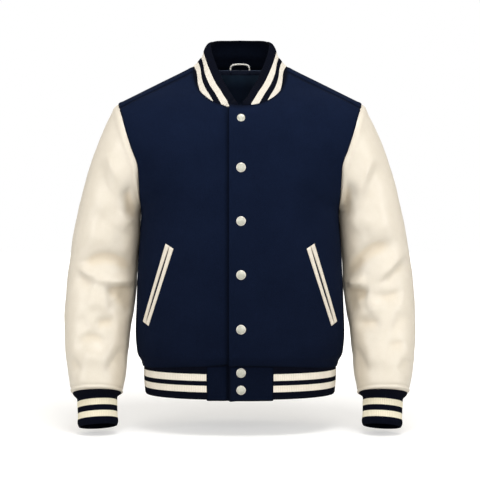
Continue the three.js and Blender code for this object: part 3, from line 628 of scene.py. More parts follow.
front_inner, front_outer, front_turns, front_low, front_corner = panel_rows(
    FRONT_OVERLAP, FRONT_CENTRE_HEIGHTS, [neck_angle_at(FRONT_OVERLAP), *FRONT_NECK_ANGLES],
    [0, *range(15, 151, ARMHOLE_STEP)],
)
front_shares = column_shares(FRONT_FINE_COLUMNS, 190)
front_shares = np.concatenate([[0], front_shares[front_shares > 0.03]])
front_main = panel_grid(front_inner, front_outer, front_turns, True, front_shares)
strip_x = np.concatenate([-FRONT_OVERLAP + np.array([0, *EDGE_STEPS]), np.linspace(-8, 15, 6)])


def front_strip():
    """The strip where the fronts overlap, which has level rows on both of them."""
    z = front_inner[:front_corner, 1]
    lift = smoothstep(z, FRONT_CENTRE_HEIGHTS[-1], z[-1])
    angles = np.degrees(np.arcsin((np.abs(strip_x) / NECK_SIDE) ** (NECK_POWER / 2)))
    neck_z = np.where(strip_x > 0, neck_xz(angles)[1], -NECK_FRONT_DROP)
    rows = z[:, None] + lift[:, None] * (neck_z - z[-1])[None, :]
    return torso_point(np.broadcast_to(strip_x, rows.shape), rows, True)


def painted_seam_shade(points, lines):
    """How much painted shade each point takes, from 0 to 1, from the seam and edge lines that are near."""
    painted_shade = np.zeros(len(points))
    for line in lines:
        painted_shade = np.maximum(painted_shade, bell(distance_to(points, line), SEAM_SHADE_WIDTH))
    return painted_shade


def painted_edge_shadow(x):
    """The painted shadow on the right front beside the left one's edge, which lies on it, from 0 to 1."""
    return np.exp(-(((x - FRONT_OVERLAP - EDGE_SHADOW_OFFSET) / EDGE_SHADOW_WIDTH) ** 4))


def edge_lift(x):
    """How far the over edge of the left front stands up with its turned-in layers."""
    return EDGE_LIFT * (1 - smoothstep(x + FRONT_OVERLAP, 2, EDGE_LIFT_WIDTH))


def calm_near(points, lines):
    """How much of the folds is left at each point: none at the lines, all of them 16 mm away."""
    calm = np.ones(len(points))
    for line in lines:
        calm = np.minimum(calm, smoothstep(distance_to(points, line), 1, 16))
    return calm


def front_height(plain, left):
    """The folds and unevenness of a front, which fade out towards the overlap."""
    folds = FOLDS_FRONT if left else mirrored_folds(FOLDS_FRONT)
    fade = smoothstep(plain[..., 0], 20, 60)
    return fold_height(plain, folds) * fade + 0.7 * soft_noise(plain, 120, 3) * fade


def build_front(left, materials):
    strip = front_strip()
    rows, wide = front_main.shape[:2]
    narrow = strip.shape[1]
    ids = np.full((rows, narrow + wide), -1)
    ids[:, narrow:] = np.arange(rows * wide).reshape(rows, wide) + strip.shape[0] * narrow
    ids[:strip.shape[0], :narrow] = np.arange(strip.shape[0] * narrow).reshape(-1, narrow)
    plain = np.concatenate([strip.reshape(-1, 3), front_main.reshape(-1, 3)])
    normals = torso_normal(plain)
    height = front_height(plain, left)
    edges = front_edges()
    points = plain + normals * (height * calm_near(plain, edges.values()))[:, None]
    points = seam_shape(points, normals, [
        (edges["armhole"], 0.9, 0.5),
        (edges["shoulder"], 0.8, 0.5),
        (edges["side"], 0.8, 0.3),
        (edges["hem"], 0.8, 1.7),
        (edges["neck"], 0.8, 0.5),
    ])
    inner = points - normals * WOOL
    if left:
        points = points + normals * edge_lift(plain[:, 0])[:, None]
    else:
        drop = normals * under_front(plain[:, 0])[:, None]
        points = points - drop
        inner = inner - drop
    _, faces = outward(points, quads(ids), np.zeros(3))
    faces, outer, inner = on_side(left, faces, points, inner)
    name = f"front_{side_name(left)}_cloth"
    # Painted shade along the seams, and on the right front a painted shadow beside the left one's edge
    painted_shade = painted_seam_shade(plain, edges.values())
    if not left:
        painted_shade = np.maximum(painted_shade, painted_edge_shadow(plain[:, 0]))
    return wall_object(name, outer, inner, faces, cloth_uv(plain), materials, painted_shade=painted_shade)


def front_edges():
    rows = front_main
    return {
        "armhole": rows[front_low - 1:, -1],
        "shoulder": rows[-1],
        "side": rows[:front_low, -1],
        "hem": np.concatenate([front_strip()[0], rows[0]]),
        "neck": np.concatenate([front_strip()[-1], rows[front_corner - 1:, 0]]),
    }


back_inner, back_outer, back_turns, back_low, back_corner = panel_rows(
    0.0, BACK_CENTRE_HEIGHTS, BACK_NECK_ANGLES, [360, *range(345, 149, -ARMHOLE_STEP)],
)
back_shares = column_shares(BACK_FINE_COLUMNS, 230)
back_shares = np.concatenate([[0], back_shares[back_shares > 0.02]])
back_main = panel_grid(back_inner, back_outer, back_turns, False, back_shares)


def back_ids():
    rows, wide = back_main.shape[:2]
    left = np.arange(rows * wide).reshape(rows, wide)
    right = left + rows * wide
    right[:back_corner, 0] = left[:back_corner, 0]
    return left, right


def both_halves(left, right):
    return np.concatenate([quads(left), quads(right)[:, ::-1]])


def tidy_points(faces, *arrays):
    """Drop the points that no face uses."""
    used = np.unique(faces)
    number = np.full(len(arrays[0]), -1)
    number[used] = np.arange(len(used))
    return number[faces], [array[used] for array in arrays]


def build_back(materials):
    left, right = back_ids()
    half = back_main.reshape(-1, 3)
    plain = np.concatenate([half, mirrored(half)])
    faces, (plain,) = tidy_points(both_halves(left, right), plain)
    normals = torso_normal(plain)
    behind = smoothstep(plain[:, 1], 0, 30)
    half_edges = [
        back_main[back_low - 1:, -1],
        back_main[-1],
        back_main[:back_low, -1],
        back_main[0],
        back_main[back_corner - 1:, 0],
    ]
    edges = [side for line in half_edges for side in (line, mirrored(line))]
    height = (fold_height(plain, FOLDS_BACK) + 0.8 * soft_noise(plain, 130, 5)) * behind
    height *= calm_near(plain, edges)
    points = plain + normals * height[:, None]
    points = seam_shape(points, normals, [(line, 0.85, 0.6) for line in edges])
    _, faces = outward(points, faces, np.zeros(3))
    inner = points - normals * WOOL
    # Painted shade along the back's seams
    return wall_object("back_cloth", points, inner, faces, cloth_uv(plain), materials,
                       painted_shade=painted_seam_shade(plain, edges))


# Sleeves

sleeve_at = columns(SLEEVE_ROWS, SLEEVE_COLUMNS)
own_shape = curve(OWN_SHAPE)
clearance_at = curve(CLEARANCE)
SLEEVE_RINGS = 150
SLEEVE_TURN = 2.5
SLEEVE_FOLD_RISE = 1.2
SLEEVE_FOLD_WIDTH = 1.1
SLEEVE_RADIUS = 60.0
SLEEVE_ROUND = 430.0

# Troughs and rolls round a sleeve: the end they are measured from, rise, place and width
SLEEVE_ROLLS = [
    ("start", -1.2, 0.0, 1.6),
    ("start", 1.9, 7.0, 5.5),
    ("end", -1.8, 7.0, 1.7),
    ("end", 1.3, 3.5, 2.6),
]


def sleeve_frame(k):
    out = np.array([float(sleeve_at["out_x"](k)), float(sleeve_at["y"](k)), float(sleeve_at["out_z"](k))])
    inside = np.array([float(sleeve_at["in_x"](k)), float(sleeve_at["y"](k)), float(sleeve_at["in_z"](k))])
    half = (out - inside) / 2
    radius = np.linalg.norm(half)
    across = half / radius
    tilt = math.radians(float(sleeve_at["tilt"](k)))
    return {
        "middle": (out + inside) / 2,
        "radius": radius,
        "across": across,
        "deep": np.array([0, math.cos(tilt), -math.sin(tilt)]),
        "beside": np.array([-across[2], 0, across[0]]),
        "depth": float(sleeve_at["depth"](k)),
    }


def soft_larger(a, b, rounding):
    return (a + b + np.hypot(a - b, rounding)) / 2


def body_side(y, z):
    depth = np.where(y < 0, torso_front(z), torso_back(z))
    deep = np.minimum(1, np.abs(y) / depth)
    form = torso_half(z) * (1 - deep**OVAL_POWER) ** (1 / OVAL_POWER)
    return np.where(z > ARMPIT[1], np.minimum(form, armhole_x(z)), form)


armhole_turns = np.arange(0, 360, SLEEVE_TURN)
armhole_loop = armhole_point(armhole_turns)
armhole_frame = sleeve_frame(0)


def sleeve_ring(k):
    ring = sleeve_frame(k)
    share = float(own_shape(k))
    turn = np.radians(armhole_turns)
    offset = armhole_loop - armhole_frame["middle"]
    loop_across = offset @ armhole_frame["across"] / armhole_frame["radius"]
    loop_deep = offset[:, 1] / armhole_frame["depth"]
    loop_beside = offset @ armhole_frame["beside"]
    across = loop_across + share * (-power(np.cos(turn), 2 / SLEEVE_POWER) - loop_across)
    deep = loop_deep + share * (-power(np.sin(turn), 2 / SLEEVE_POWER) - loop_deep)
    points = (ring["middle"]
              + np.outer(across * ring["radius"], ring["across"])
              + np.outer(deep * ring["depth"], ring["deep"])
              + np.outer((1 - share) * loop_beside, ring["beside"]))
    limit = body_side(points[:, 1], points[:, 2]) + float(clearance_at(k))
    kept = soft_larger(points[:, 0], limit, 0.8)
    points[:, 0] += min(1, k) * (kept - points[:, 0])
    return points


def seam_away():
    """At each point of the armhole, the direction on the torso that leads out of the panels."""
    along = unit(np.roll(armhole_loop, -1, axis=0) - np.roll(armhole_loop, 1, axis=0))
    away = unit(np.cross(along, torso_normal(armhole_loop)))
    inward = armhole_frame["middle"] - armhole_loop
    return np.where((np.sum(away * inward, axis=1) < 0)[:, None], -away, away)


def upright(normals, away):
    lean = np.maximum(0, np.sum(normals * away, axis=1, keepdims=True))
    return normals - lean * away


def sleeve_rings():
    return np.concatenate([[0, 0.03, 0.08, 0.15], np.linspace(0.22, len(SLEEVE_ROWS) - 1, SLEEVE_RINGS)])


def build_sleeve(left, materials):
    steps = sleeve_rings()
    rings = np.stack([sleeve_ring(k) for k in steps])
    away = seam_away()
    rings[0] = armhole_loop - away * SEAM_LAP
    shape = rings.shape
    faces = quads(tube_ids(shape[0], shape[1]))
    plain = rings.reshape(-1, 3)
    centre = sleeve_frame(5)["middle"]
    normals, faces = outward(plain, faces, centre)
    front_folds = FOLDS_LEFT_SLEEVE if left else mirrored_folds(FOLDS_RIGHT_SLEEVE)
    back_folds = mirrored_folds(FOLDS_RIGHT_SLEEVE) if left else FOLDS_LEFT_SLEEVE
    length = lengths_along(rings.mean(axis=1))
    from_start = np.repeat(length, shape[1])
    from_end = np.repeat(length[-1] - length, shape[1])
    calm = smoothstep(from_start, 1, 20) * smoothstep(from_end, 5, 22)
    facing = smoothstep(-normals[:, 1], 0, 0.5)
    behind = smoothstep(normals[:, 1], 0, 0.5)
    front_folds = scaled_folds(front_folds, SLEEVE_FOLD_RISE, SLEEVE_FOLD_WIDTH)
    back_folds = scaled_folds(back_folds, SLEEVE_FOLD_RISE, SLEEVE_FOLD_WIDTH)
    height = facing * fold_height(plain, front_folds) + behind * fold_height(plain, back_folds)
    height += 1.5 * soft_noise(plain, 75, 11 if left else 12) + 0.6 * soft_noise(plain, 32, 13)
    height *= calm
    for distance, rise, place, width in SLEEVE_ROLLS:
        height += rise * bell({"start": from_start, "end": from_end}[distance] - place, width)
    turn = np.tile(armhole_turns, shape[0])
    from_seam = np.minimum(turn, 360 - turn) * math.pi / 180 * SLEEVE_RADIUS
    height += -0.7 * bell(from_seam, 1.8) * calm
    outer = plain + normals * height[:, None]
    inner_normals, _ = outward(outer, faces, centre)
    inner_normals[:shape[1]] = upright(inner_normals[:shape[1]], away)
    inner = outer - inner_normals * LEATHER
    # Painted shade: the fold troughs and the side that faces the body are tinted darker and warmer
    crease_shade = 0.8 * smoothstep(-height, 2, 9) + 0.6 * smoothstep(-normals[:, 0], 0.3, 0.95)
    faces, outer, inner = on_side(left, faces, outer, inner)
    around = np.tile(np.arange(shape[1]) / shape[1] * SLEEVE_ROUND, shape[0])
    uv = np.stack([around, from_start], axis=1)
    name = f"sleeve_{side_name(left)}_leather"
    return wall_object(name, outer, inner, faces, uv, materials, painted_shade=np.minimum(crease_shade, 1))


# Rib knit

RIB_PITCH = 3.6
RIB_HEIGHT = 0.38
COLUMNS_PER_RIB = 4


def rib_wave(count):
    """The height of each column of a rib knit, from crest to valley."""
    return RIB_HEIGHT * np.cos(2 * math.pi * np.arange(count) / COLUMNS_PER_RIB)


cuff_at = columns(CUFF_ROWS, CUFF_COLUMNS)
CUFF_RIBS = 68
CUFF_STEPS = np.concatenate([[0, 0.8, 2, 3.5, 5.5], np.linspace(8, 60, 20), [62, 63.6, 64.6, 65]])


def loop_at(ring, turns):
    """A closed ring of points, read between its points at other angles."""
    closed = np.concatenate([ring, ring[:1]])
    at = np.concatenate([armhole_turns, [360]])
    return np.stack([np.interp(turns, at, closed[:, i]) for i in range(3)], axis=1)


def build_cuff(left, materials):
    count = CUFF_RIBS * COLUMNS_PER_RIB
    turns = np.arange(count) * 360 / count
    axis = unit(CUFF_AXIS)
    last = sleeve_frame(len(SLEEVE_ROWS) - 1)
    across = unit(last["across"] - axis * (last["across"] @ axis))
    deep = unit(last["deep"] - axis * (last["deep"] @ axis))
    wrist = loop_at(sleeve_ring(len(SLEEVE_ROWS) - 1), turns)
    turn = np.radians(turns)
    rings = []
    for w in CUFF_STEPS:
        wide, depth, own = (float(cuff_at[name](w)) for name in ("across", "depth", "own"))
        ring = (last["middle"]
                - np.outer(wide * np.cos(turn), across)
                - np.outer(depth * np.sin(turn), deep))
        own = min(1, max(0, own))
        rings.append(wrist + own * (ring - wrist) + axis * (w - SEAM_LAP))
    rings = np.stack(rings)
    faces = quads(tube_ids(*rings.shape[:2]))
    smooth = rings.reshape(-1, 3)
    middle = last["middle"] + axis * 30
    normals, faces = outward(smooth, faces, middle)
    normals[:count] = upright(normals[:count], np.broadcast_to(axis, (count, 3)))
    fade = np.repeat(smoothstep(CUFF_STEPS, 0, 2) * (1 - 0.6 * smoothstep(CUFF_STEPS, 62, 65)), count)
    outer = smooth + normals * (np.tile(rib_wave(count), len(CUFF_STEPS)) * fade)[:, None]
    inner = smooth - normals * RIB
    along = np.repeat(CUFF_STEPS, count)
    around = np.tile(np.arange(count) * RIB_PITCH / COLUMNS_PER_RIB, len(CUFF_STEPS))
    faces, outer, inner = on_side(left, faces, outer, inner)
    uv = np.stack([around, along], axis=1)
    return wall_object(f"cuff_{side_name(left)}_knit", outer, inner, faces, uv, materials)


collar_top = columns(COLLAR_TOP, COLLAR_COLUMNS)
collar_profile = curve(COLLAR_PROFILE)
COLLAR_RIBS = 134
STRIPES_FROM_ANGLE = 24
STRIPES_ON = 90.0
COLLAR_SHARES = np.concatenate([[0, 0.02, 0.05], np.linspace(0.1, 0.93, 20), [0.96, 0.985, 1]])


def neckline(count):
    """Even steps along the neckline from the left centre front round the back to the right."""
    start = neck_angle_at(COLLAR_START)
    angles = np.linspace(start, 180, 400)
    x, z = neck_xz(angles)
    half = torso_point(np.where(angles == 180, 0, x), z, angles < 90)
    length = lengths_along(half)
    total = 2 * length[-1]
    at = np.linspace(0, total, count)
    folded = np.where(at > length[-1], total - at, at)
    angle = np.interp(folded, length, angles)
    side = np.where(at > length[-1], -1.0, 1.0)
    x, z = neck_xz(angle)
    point = torso_point(x, z, angle < 90)
    normal = torso_normal(point)
    drop = np.where((side < 0) & (angle < 90), under_front(point[:, 0]), 0)
    point = point - normal * drop[:, None]
    flip = np.stack([side, np.ones(count), np.ones(count)], axis=1)
    return angle, point * flip, normal * flip, side, drop, at


def top_line(angle, side, drop):
    x, y, z = (collar_top[name](angle) for name in "xyz")
    return np.stack([side * x, y + drop, z], axis=1)


def stripe_place(rings, top, angle):
    """How far each point lies below the free edge, less the wider plain band at the sides.

    At the front the stripes follow the edge itself, and at the sides the surface below it.
    """
    line = top[angle > STRIPES_FROM_ANGLE][::4]
    first = line[0] + unit(line[0] - line[4]) * STRIPES_ON
    last = line[-1] + unit(line[-1] - line[-5]) * STRIPES_ON
    straight = distance_to(rings.reshape(-1, 3), np.concatenate([[first], line, [last]]))
    steps = np.linalg.norm(np.diff(rings, axis=0), axis=2)
    below = np.concatenate([np.cumsum(steps[::-1], axis=0)[::-1], np.zeros((1, rings.shape[1]))])
    side = smoothstep(angle, 40, 80)
    blend = straight.reshape(below.shape) * (1 - side) + below * side
    return (blend - SIDE_BAND * smoothstep(angle, 45, 95)).ravel()


def build_collar(materials):
    count = COLLAR_RIBS * COLUMNS_PER_RIB + 1
    angle, base, normal, side, drop, around = neckline(count)
    before, after = np.roll(base, 1, axis=0), np.roll(base, -1, axis=0)
    before[0], after[-1] = base[0], base[-1]
    away = unit(np.cross(unit(after - before), normal))
    towards = np.array([0, 0, 40]) - base
    away = np.where((np.sum(away * towards, axis=1) < 0)[:, None], -away, away)
    start = base - away * SEAM_LAP
    end = top_line(angle, side, drop)
    tall = np.linalg.norm(end - start, axis=1)
    outward_level = unit(start * np.array([1, 1, 0]))
    beside = smoothstep(angle, 55, 80)
    rings = []
    for share in COLLAR_SHARES:
        plain = np.sin(math.pi * share) * np.minimum(COLLAR_BULGE, tall / 12)
        puff = plain + beside * (float(collar_profile(share)) - plain)
        roll = -1.2 * smoothstep(share, 0.93, 1) ** 2
        rings.append(start + share * (end - start) + outward_level * (puff + roll)[:, None])
    rings = np.stack(rings)
    ids = np.arange(len(COLLAR_SHARES) * count).reshape(-1, count)
    smooth = rings.reshape(-1, 3)
    normals, faces = outward(smooth, quads(ids), np.array([0, -10, 0]))
    normals[:count] = upright(normals[:count], away)
    height = np.tile(tall, len(COLLAR_SHARES)) * np.repeat(1 - COLLAR_SHARES, count)
    wave = np.tile(rib_wave(count), len(COLLAR_SHARES)) * smoothstep(height, -2, 2)
    outer = smooth + normals * wave[:, None]
    inner = smooth - normals * RIB
    uv = np.stack([np.tile(around, len(COLLAR_SHARES)), stripe_place(rings, end, angle)], axis=1)
    return wall_object("collar_knit", outer, inner, faces, uv, materials, 0.6)


# Hem


def hem_z(x, front):
    """The height of the hem seam at a distance from the centre line."""
    start = FRONT_OVERLAP if front else 0
    share = np.clip((np.asarray(x, float) - start) / (HEM_HALF - start), 0, 1)
    return HEM_SEAM_CENTRE + (HEM_SEAM_SIDE - HEM_SEAM_CENTRE) * share**HEM_BEND


def hem_loop(count):
    """Even steps round the hem seam, from the left tab round the back to the right tab."""
    x_front = HEM_HALF * np.sin(np.linspace(math.asin(TAB_EDGE / HEM_HALF), math.pi / 2, 500))
    x_back = HEM_HALF * np.sin(np.linspace(math.pi / 2, -math.pi / 2, 1000))
    front = torso_point(x_front, hem_z(x_front, True), True)
    back = torso_point(x_back, hem_z(np.abs(x_back), False), False)
    other = mirrored(front[::-1]).copy()
    normal = torso_normal(other)
    other = other - normal * under_front(-other[:, 0])[:, None]
    line = np.concatenate([front, back[1:], other[1:]])
    length = lengths_along(line)
    at = np.linspace(0.3, length[-1] - 0.3, count)
    return np.stack([np.interp(at, length, line[:, i]) for i in range(3)], axis=1), at


RIB_STEPS = np.concatenate([[0, 0.015, 0.04, 0.08], np.linspace(0.12, 0.94, 18), [0.965, 0.985, 1]])
HEM_RIBS = 268


def hanging(top, bottom, shares, roll_in):
    """Rows of a band that hangs from a seam."""
    rows = []
    level = unit(torso_normal(top) * np.array([1, 1, 0]))
    for share in shares:
        scale = 1 + share * (HEM_SCALE - 1)
        start = top + np.array([0, 0, SEAM_LAP])
        row = start * np.array([scale, scale, 1])
        row[:, 2] = start[:, 2] + share * (bottom - start[:, 2])
        puff = 0.9 * math.sin(math.pi * share)
        rows.append(row + level * (puff - roll_in * float(smoothstep(share, 0.93, 1)) ** 2))
    return np.stack(rows)


def build_hem_rib(materials):
    count = HEM_RIBS * COLUMNS_PER_RIB + 1
    top, around = hem_loop(count)
    rings = hanging(top, RIB_BOTTOM, RIB_STEPS, 1.0)
    ids = np.arange(len(RIB_STEPS) * count).reshape(-1, count)
    smooth = rings.reshape(-1, 3)
    normals, faces = outward(smooth, quads(ids), np.array([0, 0, RIB_BOTTOM + 30]))
    fade = np.repeat(smoothstep(RIB_STEPS, 0, 0.05), count)
    outer = smooth + normals * (np.tile(rib_wave(count), len(RIB_STEPS)) * fade)[:, None]
    inner = smooth - normals * RIB
    uv = np.stack([np.tile(around, len(RIB_STEPS)), smooth[:, 2] - RIB_BOTTOM], axis=1)
    return wall_object("hem_rib_knit", outer, inner, faces, uv, materials)


TAB_STEPS = np.concatenate([[0, 0.02, 0.05, 0.09], np.linspace(0.14, 0.92, 12), [0.95, 0.975, 1]])


def build_tab(left, materials):
    inside = TAB_EDGE - 0.3
    near = np.array([0, *EDGE_STEPS])
    x = np.concatenate([-FRONT_OVERLAP + near, np.linspace(-10, inside - 9, 16), inside - near[::-1]])
    top = torso_point(x, hem_z(np.abs(x), True), True)
    if not left:
        top = top - torso_normal(top) * under_front(x)[:, None]
    rows = hanging(top, TAB_BOTTOM, TAB_STEPS, 0.8)
    ids = np.arange(len(TAB_STEPS) * len(x)).reshape(-1, len(x))
    plain = rows.reshape(-1, 3)
    normals, faces = outward(plain, quads(ids), np.array([0, 0, RIB_BOTTOM + 30]))
    border = [rows[0], rows[-1], rows[:, 0], rows[:, -1]]
    points = seam_shape(plain, normals, [(line, 0.6, 0.35) for line in border])
    inner = points - normals * WOOL
    if left:
        points = points + normals * edge_lift(plain[:, 0])[:, None]
    faces, outer, inner = on_side(left, faces, points, inner)
    # Painted shade along the tab's edges, the whole tab a little darker, and on the right tab a painted
    # shadow beside the left one's edge
    painted_shade = np.maximum(TAB_DARKER, painted_seam_shade(plain, border))
    if not left:
        painted_shade = np.maximum(painted_shade, painted_edge_shadow(plain[:, 0]))
    name = f"hem_tab_{side_name(left)}_cloth"
    return wall_object(name, outer, inner, faces, plain[:, [0, 2]], materials, painted_shade=painted_shade)


# Pockets


def panel_surface(x, z, left):
    """A place on a front's cloth, with its folds, and the direction out of it."""
    plain = torso_point(np.abs(x), z, True)
    normals = torso_normal(plain)
    return plain + normals * front_height(plain, left)[..., None], normals


WELT_STEPS = 90
WELT_PROFILE = [(0.0, 0.55), (0.35, 1.25), (1.1, 1.75), (2.2, 1.9), (3.2, 1.72), (4.6, 2.0), (6.6, 2.1),
                (8.1, 1.85), (8.7, 1.3), (9.0, 0.6)]


def build_welt(left, front, materials):
    down = np.array([math.sin(POCKET_LEAN), -math.cos(POCKET_LEAN)])
    near = np.array([0, 0.4, 1.2, 2.6]) / POCKET_LENGTH
    share = np.concatenate([near, np.linspace(0.03, 0.97, WELT_STEPS), 1 - near[::-1]])
    sign = -1 if front else 1
    across = np.array([w for w, _ in WELT_PROFILE]) / WELT_PROFILE[-1][0]
    heights = np.array([h for _, h in WELT_PROFILE])
    open_half = POCKET_SLOT / 2 * np.sin(math.pi * share)[:, None] ** 0.6 + 0.15
    half_width = np.interp(share, (0, 1), POCKET_HALF_WIDTHS)[:, None]
    offsets = sign * (half_width + (open_half - half_width) * across[None, :])
    along = POCKET_LENGTH * share[:, None] - offsets * math.tan(POCKET_END_SLANT)
    x = POCKET_TOP[0] + down[0] * along - down[1] * offsets
    z = POCKET_TOP[1] + down[1] * along + down[0] * offsets
    surface, normals = panel_surface(x, z, left)
    distance = np.minimum(share, 1 - share) * POCKET_LENGTH
    ends = 0.45 + 0.55 * smoothstep(distance, 0, 1.6)[:, None]
    ripple = 0.12 * np.sin(2 * math.pi * share * POCKET_LENGTH / 17)[:, None]
    lift = heights[None, :] * ends + ripple * (heights[None, :] > 1.5)
    outer = (surface + normals * (0.4 + lift)[..., None]).reshape(-1, 3)
    inner = (surface + normals * 0.1).reshape(-1, 3)
    ids = np.arange(outer.shape[0]).reshape(len(share), -1)
    _, faces = outward(outer, quads(ids), inner.mean(axis=0) + np.array([0, 300, 0]))
    faces, outer, inner = on_side(left, faces, outer, inner)
    uv = np.stack([along.ravel(), offsets.ravel()], axis=1)
    name = f"pocket_welt_{side_name(left)}_{'front' if front else 'rear'}_leather"
    return wall_object(name, outer, inner, faces, uv, materials)


# Snaps

SNAP_PROFILE = [(0, 3.0), (2.5, 2.93), (4.8, 2.7), (6.6, 2.28), (7.7, 1.75), (8.25, 1.2), (8.45, 0.85),
                (8.6, 0.7), (8.85, 0.72), (9.0, 0.5), (9.0, 0.2), (8.7, 0.0)]
SNAP_TURNS = 48
SNAP_RIM_FROM = 7.7


def snap_facing(z):
    """The direction out of the cloth under a snap at this height."""
    if z > HEM_SEAM_CENTRE:
        return torso_normal(torso_point(SNAP_X, z, True))
    return unit(np.array([0, -1, 0.02]))


def closed_object(name, points, faces, material):
    """A closed piece from faces of any orientation."""
    work = bmesh.new()
    made = [work.verts.new(point) for point in (points * MM).tolist()]
    for face in faces:
        work.faces.new([made[i] for i in face])
    bmesh.ops.recalc_face_normals(work, faces=work.faces)
    mesh = bpy.data.meshes.new(name)
    work.to_mesh(mesh)
    work.free()
    mesh.materials.append(material)
    mesh.shade_smooth()
    piece = bpy.data.objects.new(name, mesh)
    bpy.context.scene.collection.objects.link(piece)
    return piece


def build_snap(number, z, materials):
    normal = snap_facing(z)
    box_low, box_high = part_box(f"snap_{number}")
    right = unit(np.cross(normal, np.array([0.0, 0.0, 1.0])))
    up = np.cross(right, normal)
    centre = np.array([
        (box_low.x + box_high.x) / 2 / MM,
        box_high.y / MM - abs(normal[2]) * SNAP_RADIUS,
        (box_low.z + box_high.z) / 2 / MM,
    ])
    turn = np.arange(SNAP_TURNS) * 2 * math.pi / SNAP_TURNS
    rings = [centre + normal * h + r * (np.outer(np.cos(turn), right) + np.outer(np.sin(turn), up))
             for r, h in SNAP_PROFILE[1:]]
    points = np.concatenate([np.stack(rings).reshape(-1, 3), [centre + normal * SNAP_PROFILE[0][1]]])
    faces = quads(tube_ids(len(rings), SNAP_TURNS)).tolist()
    faces += [[i, (i + 1) % SNAP_TURNS, len(points) - 1] for i in range(SNAP_TURNS)]
    last = (len(rings) - 1) * SNAP_TURNS
    faces.append([last + i for i in range(SNAP_TURNS)])
    piece = closed_object(f"snap_{number}_cap", points, faces, materials[0])
    piece.data.materials.append(materials[1])
    rim_from = next(i for i, (r, _) in enumerate(SNAP_PROFILE[1:]) if r >= SNAP_RIM_FROM)
    for face in piece.data.polygons:
        if all(rim_from * SNAP_TURNS <= i < len(points) - 1 for i in face.vertices):
            face.material_index = 1
    return piece


# Inside the neck

LINING_TURNS = (315, 165)
LINING_SHARE = 0.62


def build_lining(materials):
    low, high = LINING_TURNS
    rows = np.where((back_turns <= low) & (back_turns >= high))[0]
    keep = back_shares <= LINING_SHARE
    left, right = back_ids()
    half = back_main.reshape(-1, 3)
    plain = np.concatenate([half, mirrored(half)])
    picked = np.ix_(rows, np.where(keep)[0])
    faces, (plain,) = tidy_points(both_halves(left[picked], right[picked]), plain)
    normals = torso_normal(plain)
    ease = 0.35 * soft_noise(plain, 34, 21)
    depth = WOOL + 0.8
    outer = plain - normals * depth
    inner = plain - normals * (depth + 0.6 + 0.4 * (ease + 0.35))[:, None]
    _, faces = outward(outer, faces, np.zeros(3))
    return wall_object("back_lining_satin", outer, inner, faces, cloth_uv(plain), materials)


TAPE_HEIGHT = 8.0
TAPE_BELOW = 0.6
LOOP_RADIUS = 2.0
LOOP_FOOT = (19.4, -1.0)
LOOP_ROWS = [(*LOOP_FOOT, 0), (19.6, 2.5, 0.6), (19.4, 7, 2.4), (16.2, 11.6, 4), (8, 13.6, 5)]
LOOP_TOP = (0, 13.9, 5)


def build_tape(materials):
    count = 121
    start = 110
    angles = np.concatenate([np.linspace(start, 180, count), np.linspace(180, start, count)[1:]])
    side = np.concatenate([np.ones(count), -np.ones(count - 1)])
    x, z = neck_xz(angles)
    rows = []
    normals = []
    steps = np.array([0, 0.06, 0.15, 0.5, 0.85, 0.94, 1])
    for share in steps:
        level = z - TAPE_BELOW - TAPE_HEIGHT * share
        point = torso_point(np.where(angles == 180, 0, x) * 0.97, level, False)
        normal = torso_normal(point)
        flip = np.stack([side, np.ones_like(side), np.ones_like(side)], axis=1)
        rows.append(point * flip)
        normals.append(normal * flip)
    plain = np.stack(rows).reshape(-1, 3)
    normal = np.stack(normals).reshape(-1, 3)
    edge = np.repeat(np.where((steps == 0) | (steps == 1), 0.4, 0), len(angles))
    back_of = WOOL + LINING + 0.6
    over_loop = LOOP_RADIUS * bell(np.abs(plain[:, 0]) - LOOP_FOOT[0], 3.5)
    over_loop *= smoothstep(plain[:, 2], -TAPE_HEIGHT + 1, 1)
    outer = plain - normal * back_of
    inner = plain - normal * (back_of + TAPE - edge + over_loop)[:, None]
    ids = np.arange(len(plain)).reshape(len(steps), -1)
    _, faces = outward(outer, quads(ids), np.zeros(3))
    around = np.tile(np.arange(len(angles)) * 0.9, len(steps))
    uv = np.stack([around, plain[:, 2]], axis=1)
    return wall_object("neck_tape_weave", outer, inner, faces, uv, materials)


def smooth_line(points, steps):
    """A Catmull-Rom line through the points, with even steps in each stretch."""
    ends = np.concatenate([[2 * points[0] - points[1]], points, [2 * points[-1] - points[-2]]])
    line = []
    for a, b, c, d in zip(ends, ends[1:], ends[2:], ends[3:]):
        for t in np.linspace(0, 1, steps, endpoint=False):
            line.append(0.5 * (2 * b + (c - a) * t + (2 * a - 5 * b + 4 * c - d) * t**2
                               + (3 * b - a - 3 * c + d) * t**3))
    line.append(points[-1])
    return np.array(line)


def tube_mesh(name, line, radius, sides, materials, twist=0.0, groove=0.0):
    """A round cord along a line, with a twisted groove for its plied yarns."""
    tangent = unit(np.gradient(line, axis=0))
    reference = np.array([0.0, 1.0, 0.0])
    across = unit(np.cross(tangent, reference))
    deep = np.cross(across, tangent)
    length = lengths_along(line)
    turn = np.arange(sides) * 2 * math.pi / sides
    rings = []
    for point, a, b, at in zip(line, across, deep, length):
        r = radius - groove * (0.5 + 0.5 * np.cos(3 * turn - at * twist))
        rings.append(point + np.outer(r * np.cos(turn), a) + np.outer(r * np.sin(turn), b))
    points = np.stack(rings).reshape(-1, 3)
    faces = quads(tube_ids(len(line), sides)).tolist()
    faces.append(list(range(sides)))
    faces.append([(len(line) - 1) * sides + i for i in range(sides)])
    return closed_object(name, points, faces, materials[0])


def build_loop(materials):
    low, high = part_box("hanger_loop")
    foot_y = high.y / MM - LOOP_RADIUS
    leg = [np.array([x, foot_y - lean, z]) for x, z, lean in LOOP_ROWS]
    top = np.array([LOOP_TOP[0], foot_y - LOOP_TOP[2], LOOP_TOP[1]])
    points = np.array([*leg, top, *[mirrored(p) for p in reversed(leg)]])
    line = smooth_line(points, 12)
    return tube_mesh("hanger_loop_cord", line, LOOP_RADIUS, 16, materials, twist=1.3, groove=0.28)


# Materials


